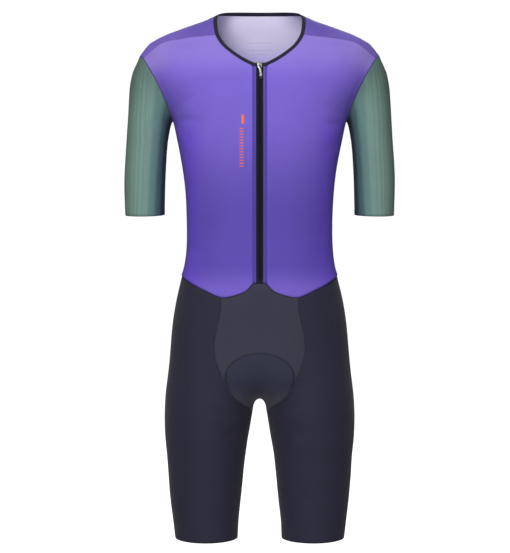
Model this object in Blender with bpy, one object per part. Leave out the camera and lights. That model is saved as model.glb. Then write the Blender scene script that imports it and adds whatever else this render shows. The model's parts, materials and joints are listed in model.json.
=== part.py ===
"""A short-sleeved cycling skinsuit with a front zip, filled out and empty, in Blender.

Every cut piece of cloth is a thin wall of its own. The frame is in metres: +X is the wearer's left,
-Y is the front and +Z is up. The origin is on the wearer's middle line, level with the points where
the neck meets the shoulders. Sizes below are in millimetres.
"""
import math
from collections import namedtuple

import bpy
import numpy as np
from mathutils import Matrix, Vector

MM = 0.001

# Cloth and seams
CLOTH = 1.5                 # wall of a cut panel
SEAM_GAP = 0.3              # between two pieces
BINDING_WIDTH = 6.6
BINDING_PROUD = 0.6         # how far the binding stands off the cloth
TAPE_THICK = 1.0
TAPE_REACH = 13.0           # from the middle line to the tape's outer edge
TAPE_RISE = 6.0             # how far the tape runs on behind the binding
TAPE_TURN = 1.2             # how far its top end turns in
TAPE_DROP = 2.0             # how far it runs on behind the shorts
ZIP_HALF = 5.6              # from the middle line to a front panel's edge

# Grid: how many rows and columns each stretch of cloth has
TRUNK_ROWS = 8              # waist seam to armpit
ZIP_ROWS = 3                # armpit level to the neckline, on the middle line
NECK_FRONT_ROWS = 6
ARM_FRONT_ROWS = ZIP_ROWS + NECK_FRONT_ROWS
NECK_BACK_ROWS = 7
BACK_RISE_ROWS = 6          # armpit level to the back neckline, on the middle line
ARM_BACK_ROWS = BACK_RISE_ROWS + NECK_BACK_ROWS
BACK_COLUMNS = 10
SEAT_ROWS = 8               # waist seam to the crotch
GUSSET_ROWS = 6
LEG_ROWS = 8
SLEEVE_ROWS = 7
# Columns of a front panel as shares of the way from the zip to the side seam
FRONT_SHARES = (0.0, 0.04, 0.10, 0.22, 0.316, 0.41, 0.505, 0.60, 0.70, 0.80, 0.90, 1.0)
SEAM_COLUMN = 4             # the column where the shorts' front seam starts
FRONT_COLUMNS = len(FRONT_SHARES) - 1
SIDE_COLUMN = FRONT_COLUMNS - SEAM_COLUMN
# The same for the yoke seam, which starts a column in from the zip
YOKE_SHARES = [(share - FRONT_SHARES[1]) / (1 - FRONT_SHARES[1]) for share in FRONT_SHARES[1:]]

# Horizontal sections of the trunk, from the armpits down. Squareness 2 is an ellipse.
Section = namedtuple("Section", "height half_width front back square")
TRUNK = (
    Section(-195.5, 160.5, 109.0, 112.0, 2.55),
    Section(-235.0, 151.5, 113.0, 108.0, 2.50),
    Section(-290.0, 141.0, 112.0, 99.0, 2.40),
    Section(-340.0, 136.0, 108.0, 90.0, 2.32),
    Section(-395.0, 134.6, 104.0, 86.0, 2.28),
    Section(-440.0, 135.6, 104.0, 90.0, 2.28),
    Section(-470.0, 140.5, 105.0, 97.0, 2.30),
    Section(-500.0, 148.0, 107.0, 105.0, 2.30),
    Section(-530.0, 154.5, 108.0, 112.0, 2.32),
    Section(-575.0, 161.2, 109.0, 120.0, 2.35),
    Section(-620.0, 165.2, 107.0, 124.0, 2.40),
    Section(-660.0, 169.0, 103.0, 121.0, 2.45),
    Section(-705.0, 175.0, 97.0, 110.0, 2.50),
)

# Horizontal sections of a leg, from the crotch down to the hem
Leg = namedtuple("Leg", "height centre half_width front back")
LEG = (
    Leg(-690.0, 91.0, 83.0, 96.0, 109.0),
    Leg(-720.0, 92.5, 82.2, 95.0, 106.0),
    Leg(-766.0, 96.8, 78.0, 90.0, 93.0),
    Leg(-810.0, 98.6, 72.6, 84.0, 81.0),
    Leg(-855.0, 99.2, 68.4, 78.0, 71.0),
    Leg(-899.0, 99.6, 64.4, 73.0, 63.0),
    Leg(-943.0, 99.0, 59.4, 68.5, 57.0),
    Leg(-970.0, 97.8, 57.4, 66.0, 55.0),
)
LEG_HEM = -962.5            # behind; the hem dips in front
LEG_HEM_DIP = 4.5

# Seam lines on the wearer's left, as points that a smooth curve runs through
Place = namedtuple("Place", "x y z")
NECK_FRONT = (
    Place(12.7, -84.5, -101.8),
    Place(32.9, -80.0, -90.9),
    Place(50.0, -72.0, -78.5),
    Place(66.0, -58.5, -64.0),
    Place(76.5, -44.0, -49.0),
    Place(81.5, -34.0, -37.8),
)
NECK_BACK = (
    Place(0.0, 81.0, 11.0),
    Place(32.0, 79.0, 11.0),
    Place(58.0, 70.5, 10.8),
    Place(75.0, 54.0, 9.0),
    Place(83.0, 32.0, 4.0),
    Place(85.4, 8.0, -5.5),
    Place(84.6, -14.0, -20.0),
    Place(81.5, -34.0, -37.8),
)
YOKE_SEAM = (
    Place(81.5, -34.0, -37.8),
    Place(104.0, -34.0, -40.8),
    Place(124.5, -33.5, -42.6),
    Place(145.0, -32.0, -46.0),
    Place(162.0, -30.5, -48.0),
    Place(177.0, -28.5, -52.0),
    Place(192.0, -25.0, -61.5),
    Place(204.5, -20.0, -72.0),
    Place(215.5, -14.0, -80.0),
)
ARM_FRONT = (
    Place(160.5, 0.0, -195.5),
    Place(162.2, -26.0, -190.0),
    Place(167.0, -44.0, -174.0),
    Place(176.5, -52.0, -151.0),
    Place(189.5, -50.0, -123.0),
    Place(204.5, -37.0, -97.5),
    Place(215.5, -14.0, -80.0),
)
ARM_BACK = (
    Place(160.5, 0.0, -195.5),
    Place(162.4, 28.0, -190.0),
    Place(168.0, 48.0, -171.0),
    Place(178.0, 58.0, -148.0),
    Place(191.0, 57.0, -122.0),
    Place(206.5, 46.0, -97.0),
    Place(217.5, 29.0, -80.0),
    Place(223.3, 8.0, -72.6),
    Place(215.5, -14.0, -80.0),
)
# The waist seam, where the top ends on the shorts: its height at each share of the front
Waist = namedtuple("Waist", "share height")
WAIST_FRONT = (
    Waist(0.0, -494.8),
    Waist(0.04, -496.4),
    Waist(0.10, -508.9),
    Waist(0.22, -517.7),
    Waist(0.316, -519.7),
    Waist(0.41, -513.0),
    Waist(0.505, -505.2),
    Waist(0.60, -497.8),
    Waist(0.70, -490.4),
    Waist(0.80, -484.4),
    Waist(0.90, -480.2),
    Waist(1.0, -478.2),
)
WAIST_BACK_MIDDLE = -490.0
ARMPIT = -195.5
CHEST_MIDDLE = -198.0       # the armpit row on the middle line
CHEST_DIP = 30.0            # bends the armpit row down on both sides of the armpit
NECK_ZIP_END = Place(ZIP_HALF, -85.2, -101.8)

# The front seam of the shorts, down to where it turns on to the inner thigh
FRONT_SEAM = (
    Place(69.8, -99.7, -519.7),
    Place(70.6, -99.6, -545.0),
    Place(77.0, -98.6, -569.0),
    Place(81.6, -96.8, -597.0),
    Place(82.3, -96.2, -613.0),
    Place(80.3, -96.0, -629.0),
    Place(73.2, -96.5, -651.0),
    Place(63.4, -94.2, -673.0),
    Place(52.4, -86.8, -692.0),
    Place(39.6, -75.0, -707.0),
    Place(24.5, -51.0, -719.0),
    Place(16.0, -30.0, -726.0),
)
GUSSET_EDGE = (
    Place(16.0, -30.0, -726.0),
    Place(13.6, -12.0, -730.5),
    Place(12.6, 8.0, -731.5),
    Place(12.0, 28.0, -727.5),
    Place(10.4, 46.0, -718.0),
    Place(6.6, 62.0, -705.0),
    Place(0.0, 76.0, -690.0),
)
GUSSET_MIDDLE = (
    Place(0.0, -35.0, -704.5),
    Place(0.0, -14.0, -707.0),
    Place(0.0, 7.0, -707.0),
    Place(0.0, 27.0, -704.5),
    Place(0.0, 45.0, -700.5),
    Place(0.0, 61.0, -696.0),
    Place(0.0, 76.0, -690.0),
)
BACK_SEAM = (
    Place(0.0, 102.5, -490.0),
    Place(0.0, 113.0, -535.0),
    Place(0.0, 121.0, -580.0),
    Place(0.0, 123.0, -620.0),
    Place(0.0, 116.0, -655.0),
    Place(0.0, 99.0, -679.0),
    Place(0.0, 76.0, -690.0),
)
CROTCH_SIDE = -704.0        # the crotch row at the outer thigh

# The sleeve's outer and inner edge as seen from the front, from the armhole to the hem
Edge = namedtuple("Edge", "outer_x outer_z inner_x inner_z depth middle")
SLEEVE = (
    Edge(223.3, -72.6, 160.5, -195.5, 56.0, 2.0),
    Edge(233.6, -92.0, 166.0, -214.0, 56.0, 2.0),
    Edge(240.2, -131.5, 170.0, -236.0, 54.5, 1.0),
    Edge(243.5, -196.0, 172.5, -270.0, 51.0, -1.0),
    Edge(249.0, -278.0, 174.0, -315.0, 47.0, -4.0),
    Edge(250.3, -325.0, 174.6, -343.0, 45.0, -6.0),
    Edge(248.2, -369.0, 174.6, -368.0, 43.5, -7.5),
)
SLEEVE_CROWD = 1.25         # above 1, the sleeve's rings stand closer near the armhole
# How far the yoke arches up at each share of the way from the neck to the armhole
Bow = namedtuple("Bow", "share height")
SHOULDER_BOW = (
    Bow(0.0, 0.0),
    Bow(0.2, 1.8),
    Bow(0.4, 3.5),
    Bow(0.6, 3.3),
    Bow(0.7, 3.6),
    Bow(0.8, 6.6),
    Bow(0.9, 9.6),
    Bow(1.0, 0.0),
)
SLEEVE_HEM_TILT = 4.5       # how much lower the hem is in front than at its sides

# Pad
PAD_ARCH_TOP = 0.50         # shares of the way from the waist seam to the crotch
PAD_ARCH_SIDE = 0.71
PAD_THICK = 6.0
PAD_RIM = 2.0               # thickness at the edge
PAD_SHORT = 0.3             # how far it stops before the gusset's last row, in rows
PAD_CLEAR = 1.8             # inside the cloth
PAD_MARGIN = 0.90           # of the panel's half width

# Zip hardware. Heights off the skin are along the zip's own outward direction.
CHAIN_HALF = 2.5
CHAIN_THICK = 1.7
SLIDER_TOP = -93.9          # height of the slider's upper end
SLIDER_LOW = -1.4           # its underside, off the skin
SLIDER_HIGH = 1.3           # its face
BRIDGE_HALF = 1.1
BRIDGE_HIGH = 4.4
PIN_DOWN = 6.6              # from the slider's top to the pull's pin
PIN_OFF = 2.4               # from the skin to the pin's middle
PULL_THICK = 1.2
PULL_TILT = math.radians(6)  # the tab hangs a little aside
FAIR_ROUNDS = 4

# Widths of the flat metal and rubber parts, down from each one's own start
Station = namedtuple("Station", "down half hole")
SLIDER_BODY = (
    Station(0.0, 2.6, 0.9),
    Station(0.8, 4.0, 0.9),
    Station(2.2, 4.9, 0.9),
    Station(5.4, 4.9, 0.9),
    Station(7.6, 4.0, 0.9),
    Station(10.4, 3.6, 0.9),
)
PULL = (
    Station(-0.6, 3.2, 1.9),
    Station(0.6, 3.9, 1.9),
    Station(5.9, 3.9, 1.9),
    Station(6.6, 3.4, 1.2),
    Station(7.5, 1.85, 0.9),
    Station(19.5, 1.85, 0.9),
    Station(20.6, 2.5, 1.2),
    Station(21.8, 2.5, 1.2),
)
PULL_HOLE_ROWS = (1,)
GRIP = (
    Station(22.1, 2.3, 1.0),
    Station(23.0, 2.7, 1.0),
    Station(26.2, 2.7, 1.0),
    Station(27.6, 1.6, 0.8),
)

Finish = namedtuple("Finish", "colour roughness metallic")
PURPLE = Finish((0.195, 0.130, 0.585), 0.62, 0.0)
GREEN = Finish((0.165, 0.270, 0.235), 0.60, 0.0)
SLATE = Finish((0.040, 0.040, 0.062), 0.66, 0.0)
BLACK = Finish((0.018, 0.018, 0.024), 0.55, 0.0)
PAD_BLUE = Finish((0.030, 0.033, 0.055), 0.80, 0.0)
SILVER = Finish((0.62, 0.62, 0.60), 0.30, 1.0)
RUBBER = Finish((0.014, 0.014, 0.015), 0.60, 0.0)


# ---- curves ----------------------------------------------------------------

def curve_through(places, steps=16):
    """A smooth curve through the places, as a fine line of points."""
    p = np.array(places, float)
    p = np.vstack([2 * p[0] - p[1], p, 2 * p[-1] - p[-2]])
    t = np.linspace(0, 1, steps, endpoint=False)[:, None]
    spans = []
    for a, b, c, d in zip(p, p[1:], p[2:], p[3:]):
        bend = (2 * a - 5 * b + 4 * c - d) * t ** 2 + (3 * b - a - 3 * c + d) * t ** 3
        spans.append(0.5 * (2 * b + (c - a) * t + bend))
    return np.vstack(spans + [p[-2]])


def along(line, shares):
    """Points at these shares of a line's length."""
    steps = np.linalg.norm(np.diff(line, axis=0), axis=1)
    travelled = np.concatenate([[0], np.cumsum(steps)])
    wanted = np.asarray(shares) * travelled[-1]
    return np.stack([np.interp(wanted, travelled, line[:, k]) for k in range(line.shape[1])], axis=1)


def evenly(places, count):
    """count + 1 points spread evenly on the smooth curve through the places."""
    return along(curve_through(places), np.linspace(0, 1, count + 1))


def graded(table, height):
    """A table's row at any height, on smooth curves through its columns."""
    rows = np.array(sorted(table), float)
    heights = rows[:, 0]
    slopes = np.gradient(rows, heights, axis=0)
    height = min(max(height, heights[0]), heights[-1])
    k = min(int(np.searchsorted(heights, height, side="right")) - 1, len(heights) - 2)
    span = heights[k + 1] - heights[k]
    t = (height - heights[k]) / span
    start = (1 + 2 * t) * (1 - t) ** 2 * rows[k] + t * (1 - t) ** 2 * span * slopes[k]
    end = t * t * (3 - 2 * t) * rows[k + 1] + t * t * (t - 1) * span * slopes[k + 1]
    return type(table[0])(*(start + end))


def ease(t):
    t = min(max(t, 0.0), 1.0)
    return t * t * (3 - 2 * t)


def mirrored(places):
    return np.asarray(places, float) * (-1, 1, 1)


# ---- the trunk and the legs as surfaces --------------------------------------

def section_arc(height, depth_name, start):
    """A quarter of the trunk's section, from x = start round to the side seam."""
    row = graded(TRUNK, height)
    depth = getattr(row, depth_name)
    turn = np.linspace(0, math.pi / 2, 91)
    x = row.half_width * np.sin(turn) ** (2 / row.square)
    y = depth * np.cos(turn) ** (2 / row.square)
    y = -y if depth_name == "front" else y
    first = np.interp(start, x, y)
    keep = x > start
    return np.vstack([[start, first], np.stack([x[keep], y[keep]], axis=1)])


def on_trunk(share, height, depth_name, start=0.0):
    x, y = along(section_arc(height, depth_name, start), [share])[0]
    return np.array([x, y, height])


def on_leg(turn, height):
    """A point of the leg's section. A turn of 0 faces front and a quarter turn faces out."""
    row = graded(LEG, height)
    depth = (row.front + row.back) / 2
    middle = (row.back - row.front) / 2
    return np.array([row.centre + row.half_width * math.sin(turn), middle - depth * math.cos(turn), height])


def turn_on_leg(point, reference):
    """The turn at which a point lies round the leg, kept near a reference turn."""
    row = graded(LEG, point[2])
    depth = (row.front + row.back) / 2
    middle = (row.back - row.front) / 2
    turn = math.atan2((point[0] - row.centre) / row.half_width, -(point[1] - middle) / depth)
    return reference + (turn - reference + math.pi) % (2 * math.pi) - math.pi


def patch(bottom, top, left, right):
    """A smooth patch of points between four edges that share their corners."""
    rows, columns = len(left), len(bottom)
    v = np.linspace(0, 1, rows)[:, None, None]
    u = np.linspace(0, 1, columns)[None, :, None]
    u_bottom = share_of(bottom)[None, :, None]
    u_top = share_of(top)[None, :, None]
    u = (1 - v) * u_bottom + v * u_top
    ruled = (1 - v) * bottom[None] + v * top[None] + (1 - u) * left[:, None] + u * right[:, None]
    low = (1 - u) * bottom[0] + u * bottom[-1]
    high = (1 - u) * top[0] + u * top[-1]
    return ruled - (1 - v) * low - v * high


def share_of(line):
    steps = np.linalg.norm(np.diff(line, axis=0), axis=1)
    return np.concatenate([[0], np.cumsum(steps)]) / steps.sum()


# ---- the cut pieces on the wearer's left, as grids of points ------------------

def waist_front():
    shares = [row.share for row in WAIST_FRONT]
    heights = [row.height for row in WAIST_FRONT]
    line = []
    for share in FRONT_SHARES:
        line.append(on_trunk(share, float(np.interp(share, shares, heights)), "front", ZIP_HALF))
    line[-1][1] = 0.0
    return np.array(line)


def waist_back():
    line = []
    for share in np.linspace(0, 1, BACK_COLUMNS + 1):
        drop = WAIST_BACK_MIDDLE - WAIST_FRONT[-1].height
        height = WAIST_FRONT[-1].height + drop * (1 - share ** 2)
        line.append(on_trunk(share, height, "back"))
    line[-1][1] = 0.0
    return np.array(line)


def trunk_grid(waist, shares, depth_name, start):
    """Rows of the top from the waist seam up to the armpit row."""
    grid = [waist]
    for r in range(1, TRUNK_ROWS + 1):
        rise = r / TRUNK_ROWS
        row = []
        for share, low in zip(shares, waist):
            high = CHEST_MIDDLE + (ARMPIT - CHEST_MIDDLE) * share
            high -= CHEST_DIP * share ** 2 * (1 - share ** 8)
            row.append(on_trunk(share, low[2] + (high - low[2]) * rise, depth_name, start))
        row[-1][1] = 0.0
        grid.append(np.array(row))
    return np.array(grid)


def front_grids():
    """The front panel: the trunk, the strip beside the zip above it, and the chest up to the yoke seam."""
    lower = trunk_grid(waist_front(), FRONT_SHARES, "front", ZIP_HALF)
    chest = lower[-1]
    corner = NECK_FRONT[0]
    zip_edge = evenly([chest[0], Place(ZIP_HALF, -98.5, -150.0), NECK_ZIP_END], ZIP_ROWS)
    beside = evenly([chest[1], Place(corner.x, -98.0, -150.0), corner], ZIP_ROWS)
    left = np.vstack([beside, evenly(NECK_FRONT, NECK_FRONT_ROWS)[1:]])
    right = evenly(ARM_FRONT, ARM_FRONT_ROWS)
    top = along(curve_through(YOKE_SEAM), YOKE_SHARES)
    return lower, np.stack([zip_edge, beside], axis=1), patch(chest[1:], top, left, right)


def back_grid():
    """The back and its yoke. Its last row is the yoke seam, which the front panel shares."""
    lower = trunk_grid(waist_back(), np.linspace(0, 1, BACK_COLUMNS + 1), "back", 0.0)
    chest = lower[-1]
    spine = [chest[0], Place(0.0, 110.0, -110.0), Place(0.0, 99.0, -45.0), NECK_BACK[0]]
    rise = evenly(spine, BACK_RISE_ROWS)
    left = np.vstack([rise, evenly(NECK_BACK, NECK_BACK_ROWS)[1:]])
    right = evenly(ARM_BACK, ARM_BACK_ROWS)
    top = along(curve_through(YOKE_SEAM), YOKE_SHARES)
    upper = patch(chest, top, left, right)
    for r in range(BACK_RISE_ROWS, ARM_BACK_ROWS):
        across = share_of(upper[r])
        ahead = (r - BACK_RISE_ROWS) / NECK_BACK_ROWS
        height = np.interp(across, [bow.share for bow in SHOULDER_BOW], [bow.height for bow in SHOULDER_BOW])
        upper[r, :, 2] += height * np.sin(math.pi * ahead ** (1.2 + 0.6 * across))
    return np.concatenate([lower, upper[1:]])


def sleeve_grid(armhole):
    """Rings of the sleeve from the armhole, which starts at the armpit and goes up the front."""
    count = len(armhole)
    edges = curve_through(SLEEVE)
    rings = along(edges, np.linspace(0, 1, SLEEVE_ROWS + 1) ** SLEEVE_CROWD)
    first_turns = None
    even_turns = math.pi - np.linspace(0, 2 * math.pi, count, endpoint=False)
    grid = []
    for r, numbers in enumerate(rings):
        edge = Edge(*numbers)
        outer = np.array([edge.outer_x, edge.middle, edge.outer_z])
        inner = np.array([edge.inner_x, edge.middle, edge.inner_z])
        centre, reach = (outer + inner) / 2, (outer - inner) / 2
        if first_turns is None:
            axis = reach / (reach @ reach)
            offsets = armhole - centre
            first_turns = np.unwrap(np.arctan2(-offsets[:, 1] / edge.depth, offsets @ axis))
            first_turns = first_turns - first_turns[0] + math.pi
        t = ease(r / (SLEEVE_ROWS * 0.7))
        turns = (1 - t) * first_turns + t * even_turns
        ring = centre + np.cos(turns)[:, None] * reach
        ring[:, 1] -= edge.depth * np.sin(turns)
        ring[:, 2] -= SLEEVE_HEM_TILT * (r / SLEEVE_ROWS) ** 3 * np.sin(turns)
        if r == 0:
            misfit = armhole - ring
        grid.append(ring + misfit * (1 - r / SLEEVE_ROWS) ** 3)
    return np.array(grid)


def seat_grid(front_row, back_row):
    """Rows of a leg panel from the waist seam down to the crotch, from the front seam to the back seam."""
    waist = np.concatenate([front_row[SEAM_COLUMN:], back_row[::-1][1:]])
    front_seam = evenly((front_row[SEAM_COLUMN], *FRONT_SEAM[1:]), SEAT_ROWS)
    back_seam = evenly((back_row[0], *BACK_SEAM[1:]), SEAT_ROWS)
    last = len(waist) - 1
    crotch_z = np.full(last + 1, CROTCH_SIDE)
    grid = [waist]
    for r in range(1, SEAT_ROWS + 1):
        drop = r / SEAT_ROWS
        legness = ease((r - 2.5) / (SEAT_ROWS - 2.5))
        start, end = front_seam[r], back_seam[r]
        row = []
        for c in range(last + 1):
            near_front = max(0.0, 1 - c / SIDE_COLUMN)
            near_back = max(0.0, (c - SIDE_COLUMN) / (last - SIDE_COLUMN))
            z = waist[c][2] + (crotch_z[c] - waist[c][2]) * drop
            z += near_front ** 2 * (start[2] - waist[0][2] - (CROTCH_SIDE - waist[0][2]) * drop)
            z += near_back ** 3 * (end[2] - waist[-1][2] - (CROTCH_SIDE - waist[-1][2]) * drop)
            row.append(seat_point(c, last, z, start, legness))
        row = np.array(row)
        ahead = np.maximum(0.0, 1 - np.arange(last + 1) / SIDE_COLUMN)[:, None] ** 2
        behind = np.maximum(0.0, (np.arange(last + 1) - SIDE_COLUMN) / (last - SIDE_COLUMN))[:, None] ** 3
        row = row + ahead * (start - row[0]) + behind * (end - row[-1])
        grid.append(row)
    return np.array(grid)


def seat_point(c, last, z, start, legness):
    """A point between the trunk's section and the top of the thigh's."""
    if c <= SIDE_COLUMN:
        share = c / SIDE_COLUMN
        trunk = on_trunk(share, z, "front", start[0])
        first = turn_on_leg(start, 0.0)
        turn = first + share * (math.pi / 2 - first)
    else:
        share = (c - SIDE_COLUMN) / (last - SIDE_COLUMN)
        trunk = on_trunk(1 - share, z, "back")
        turn = math.pi / 2 + share * math.radians(118)
    thigh = on_leg(turn, z)
    outside = on_trunk(1.0, z, "back")[0] - on_leg(math.pi / 2, z)[0]
    thigh[0] += outside * max(0.0, math.sin(turn))
    return trunk * (1 - legness) + thigh * legness


def leg_grid(crotch_ring):
    """Rings of the leg below the crotch. The ring runs front, out, back and home along the gusset."""
    count = len(crotch_ring)
    first = turn_on_leg(crotch_ring[0], -1.2)
    first_turns = [first]
    for point in crotch_ring[1:]:
        first_turns.append(turn_on_leg(point, first_turns[-1] + 0.2))
    first_turns = np.array(first_turns)
    even_turns = first_turns[0] + np.linspace(0, 2 * math.pi, count, endpoint=False)
    misfit = np.array([p - on_leg(t, p[2]) for p, t in zip(crotch_ring, first_turns)])
    grid = [crotch_ring]
    for r in range(1, LEG_ROWS + 1):
        drop = r / LEG_ROWS
        turns = first_turns + (even_turns - first_turns) * ease(drop * 1.6)
        ring = []
        for point, turn, miss in zip(crotch_ring, turns, misfit):
            hem = LEG_HEM - LEG_HEM_DIP * (0.5 + 0.5 * math.cos(turn)) ** 2
            place = on_leg(turn, point[2] + (hem - point[2]) * drop)
            ring.append(place + miss * (1 - drop) ** 4)
        grid.append(np.array(ring))
    return np.array(grid)


def shorts_front_grid(front_row, front_seam):
    """The centre panel from edge to edge, from the waist seam down and on under the crotch."""
    half = front_row[:SEAM_COLUMN + 1]
    waist = np.concatenate([mirrored(half[::-1]), half])
    reach = np.abs(half[:, 0]) / half[-1, 0]
    spread = np.linspace(0.11, 1.0, SEAM_COLUMN + 1)
    middle = evenly(GUSSET_MIDDLE, GUSSET_ROWS)
    edge = evenly(GUSSET_EDGE, GUSSET_ROWS)
    saddle = []
    for r in range(GUSSET_ROWS):
        t = ease(r / 2)
        shares = reach * (1 - t) + spread * t
        side = []
        for s in shares:
            x = edge[r][0] * math.sin(s * math.pi / 2)
            place = middle[r] + (edge[r] - middle[r]) * (1 - math.cos(s * math.pi / 2))
            side.append((x, place[1], place[2]))
        side = np.array(side)
        side[-1] = edge[r]
        saddle.append(np.concatenate([mirrored(side[::-1]), side]))
    panel = patch(waist, saddle[0], mirrored(front_seam), front_seam)
    return np.concatenate([panel, saddle[1:]]), middle[-1]


# ---- the whole outer skin ----------------------------------------------------

class Skin:
    """The suit's outer face: points shared by neighbours, and the faces of each cut piece."""

    def __init__(self):
        self.points = []
        self.known = {}
        self.faces = {}
        self.grids = {}

    def index(self, point):
        key = tuple(np.round(np.asarray(point, float), 3) + 0.0)
        if key not in self.known:
            self.known[key] = len(self.points)
            self.points.append(np.array(point, float))
        return self.known[key]

    def lay(self, name, grid, flip=False, ring=False, part=""):
        """Adds a grid of points as the faces of a piece, or of a part of one."""
        numbers = [[self.index(point) for point in row] for row in grid]
        faces = self.faces.setdefault(name, [])
        for low, high in zip(numbers, numbers[1:]):
            if ring:
                low, high = low + low[:1], high + high[:1]
            for a, b, c, d in zip(low, low[1:], high[1:], high):
                faces.append((d, c, b, a) if flip else (a, b, c, d))
        self.grids[name + part] = numbers

    def fan(self, name, row, tip, flip=False):
        """Closes a row of points on to one tip."""
        numbers = [self.index(point) for point in row]
        tip = self.index(tip)
        for a, b in zip(numbers, numbers[1:]):
            self.faces[name].append((tip, b, a) if flip else (a, b, tip))

    def all_faces(self):
        return [face for faces in self.faces.values() for face in faces]

    def open_points(self):
        """Points on the suit's own openings, and on the middle line's ends."""
        return {k for edge, uses in edge_uses(self.all_faces()).items() if len(uses) == 1 for k in edge}

    def armhole_points(self):
        return {k for side in ("left", "right") for k in self.grids["sleeve_" + side][0]}

    def fair(self, rounds):
        """Evens out the surface, in and out only. The openings and the armholes stay where they are."""
        near = {}
        for a, b in edge_uses(self.all_faces()):
            near.setdefault(a, set()).add(b)
            near.setdefault(b, set()).add(a)
        fixed = self.open_points() | self.armhole_points()
        free = [k for k in near if k not in fixed]
        for strength in (0.5, -0.52) * rounds:
            points, normals = np.array(self.points), self.normals()
            for k in free:
                lift = (points[list(near[k])].mean(axis=0) - points[k]) @ normals[k]
                self.points[k] = points[k] + strength * lift * normals[k]

    def normals(self):
        """The direction out at each point. At the armhole, the sleeve counts as much as the trunk."""
        sleeves = [face for name in self.faces for face in self.faces[name] if "sleeve" in name]
        others = [face for name in self.faces for face in self.faces[name] if "sleeve" not in name]
        total = corner_normals(self.points, sleeves) + corner_normals(self.points, others)
        return total / np.linalg.norm(total, axis=1)[:, None]


def corner_normals(points, faces):
    """The direction out at each point that these faces use, from the corners that meet there."""
    points = np.array(points)
    total = np.zeros_like(points)
    for face in faces:
        for before, k, after in zip(face[-1:] + face[:-1], face, face[1:] + face[:1]):
            ahead, behind = points[after] - points[k], points[before] - points[k]
            total[k] += np.cross(ahead, behind) / np.linalg.norm(ahead) / np.linalg.norm(behind)
    length = np.linalg.norm(total, axis=1)
    return total / np.where(length > 0, length, 1.0)[:, None]


def edge_uses(faces):
    uses = {}
    for face in faces:
        for a, b in zip(face, face[1:] + face[:1]):
            uses.setdefault((min(a, b), max(a, b)), []).append((a, b))
    return uses


def build_skin():
    skin = Skin()
    front, zip_strip, chest = front_grids()
    back = back_grid()
    front_arm = chest[:, -1]
    back_arm = back[TRUNK_ROWS:, -1]
    sleeve = sleeve_grid(np.concatenate([front_arm, back_arm[::-1][1:-1]]))
    seat = seat_grid(front[0], back[0])
    panel, tip = shorts_front_grid(front[0], seat[:, 0])
    gusset = evenly(GUSSET_EDGE, GUSSET_ROWS)
    leg = leg_grid(np.concatenate([seat[-1], gusset[::-1][1:-1]]))
    for side, turn in (("left", False), ("right", True)):
        place = mirrored if turn else np.asarray
        skin.lay("front_" + side, place(front), flip=turn)
        skin.lay("front_" + side, place(zip_strip), flip=turn, part="_zip")
        skin.lay("front_" + side, place(chest), flip=turn, part="_chest")
        skin.lay("sleeve_" + side, place(sleeve), flip=not turn, ring=True)
        skin.lay("leg_" + side, place(seat), flip=not turn)
        skin.lay("leg_" + side, place(leg), flip=not turn, ring=True)
    whole_back = np.concatenate([mirrored(back[:, ::-1]), back[:, 1:]], axis=1)
    skin.lay("back", whole_back[:TRUNK_ROWS + BACK_RISE_ROWS + 1], flip=True)
    for turn in (False, True):
        yoke = back[TRUNK_ROWS + BACK_RISE_ROWS:]
        side = "_right" if turn else "_left"
        skin.lay("back", mirrored(yoke) if turn else yoke, flip=not turn, part=side)
    skin.lay("shorts_front", panel, flip=True)
    skin.fan("shorts_front", panel[-1], tip, flip=True)
    skin.fair(FAIR_ROUNDS)
    return skin


# ---- solids ------------------------------------------------------------------

def finish_material(name, finish):
    material = bpy.data.materials.new(name)
    material.use_nodes = True
    shader = material.node_tree.nodes["Principled BSDF"]
    shader.inputs["Base Color"].default_value = (*finish.colour, 1.0)
    shader.inputs["Roughness"].default_value = finish.roughness
    shader.inputs["Metallic"].default_value = finish.metallic
    return material


def faces_in(points, faces):
    """Whether a closed solid's faces look inwards."""
    points = np.array(points)
    total = 0.0
    for face in faces:
        for b, c in zip(face[1:], face[2:]):
            total += points[face[0]] @ np.cross(points[b], points[c])
    return total < 0


def place_object(name, points, faces, finish, origin=(0.0, 0.0, 0.0)):
    """Makes an object from points in millimetres, with its origin where asked."""
    origin = np.array(origin, float)
    if faces_in(points, faces):
        faces = [tuple(reversed(face)) for face in faces]
    mesh = bpy.data.meshes.new(name)
    mesh.from_pydata([tuple((p - origin) * MM) for p in points], [], [tuple(f) for f in faces])
    mesh.update()
    mesh.shade_smooth()
    mesh.materials.append(finish_material(name, finish))
    obj = bpy.data.objects.new(name, mesh)
    obj.location = tuple(origin * MM)
    bpy.context.scene.collection.objects.link(obj)
    return obj


def seam_pull(faces, points, normals):
    """How far each border point of a piece steps back from its seam, within the surface."""
    inward = {}
    for uses in edge_uses(faces).values():
        if len(uses) > 1:
            continue
        a, b = uses[0]
        for k in (a, b):
            across = np.cross(normals[k], points[b] - points[a])
            inward.setdefault(k, []).append(across / np.linalg.norm(across))
    pull = {}
    for k, ways in inward.items():
        first, second = ways[0], ways[-1]
        pull[k] = (first + second) * (SEAM_GAP / 2) / max(0.35, 1 + first @ second)
    return pull


def halved(faces, points):
    """The faces as triangles, each quad cut along its shorter diagonal."""
    cut = []
    for face in faces:
        if len(face) == 3:
            cut.append(face)
            continue
        a, b, c, d = face
        if np.linalg.norm(points[a] - points[c]) < np.linalg.norm(points[b] - points[d]) - 0.01:
            cut += [(a, b, c), (a, c, d)]
        else:
            cut += [(a, b, d), (b, c, d)]
    return cut


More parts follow.
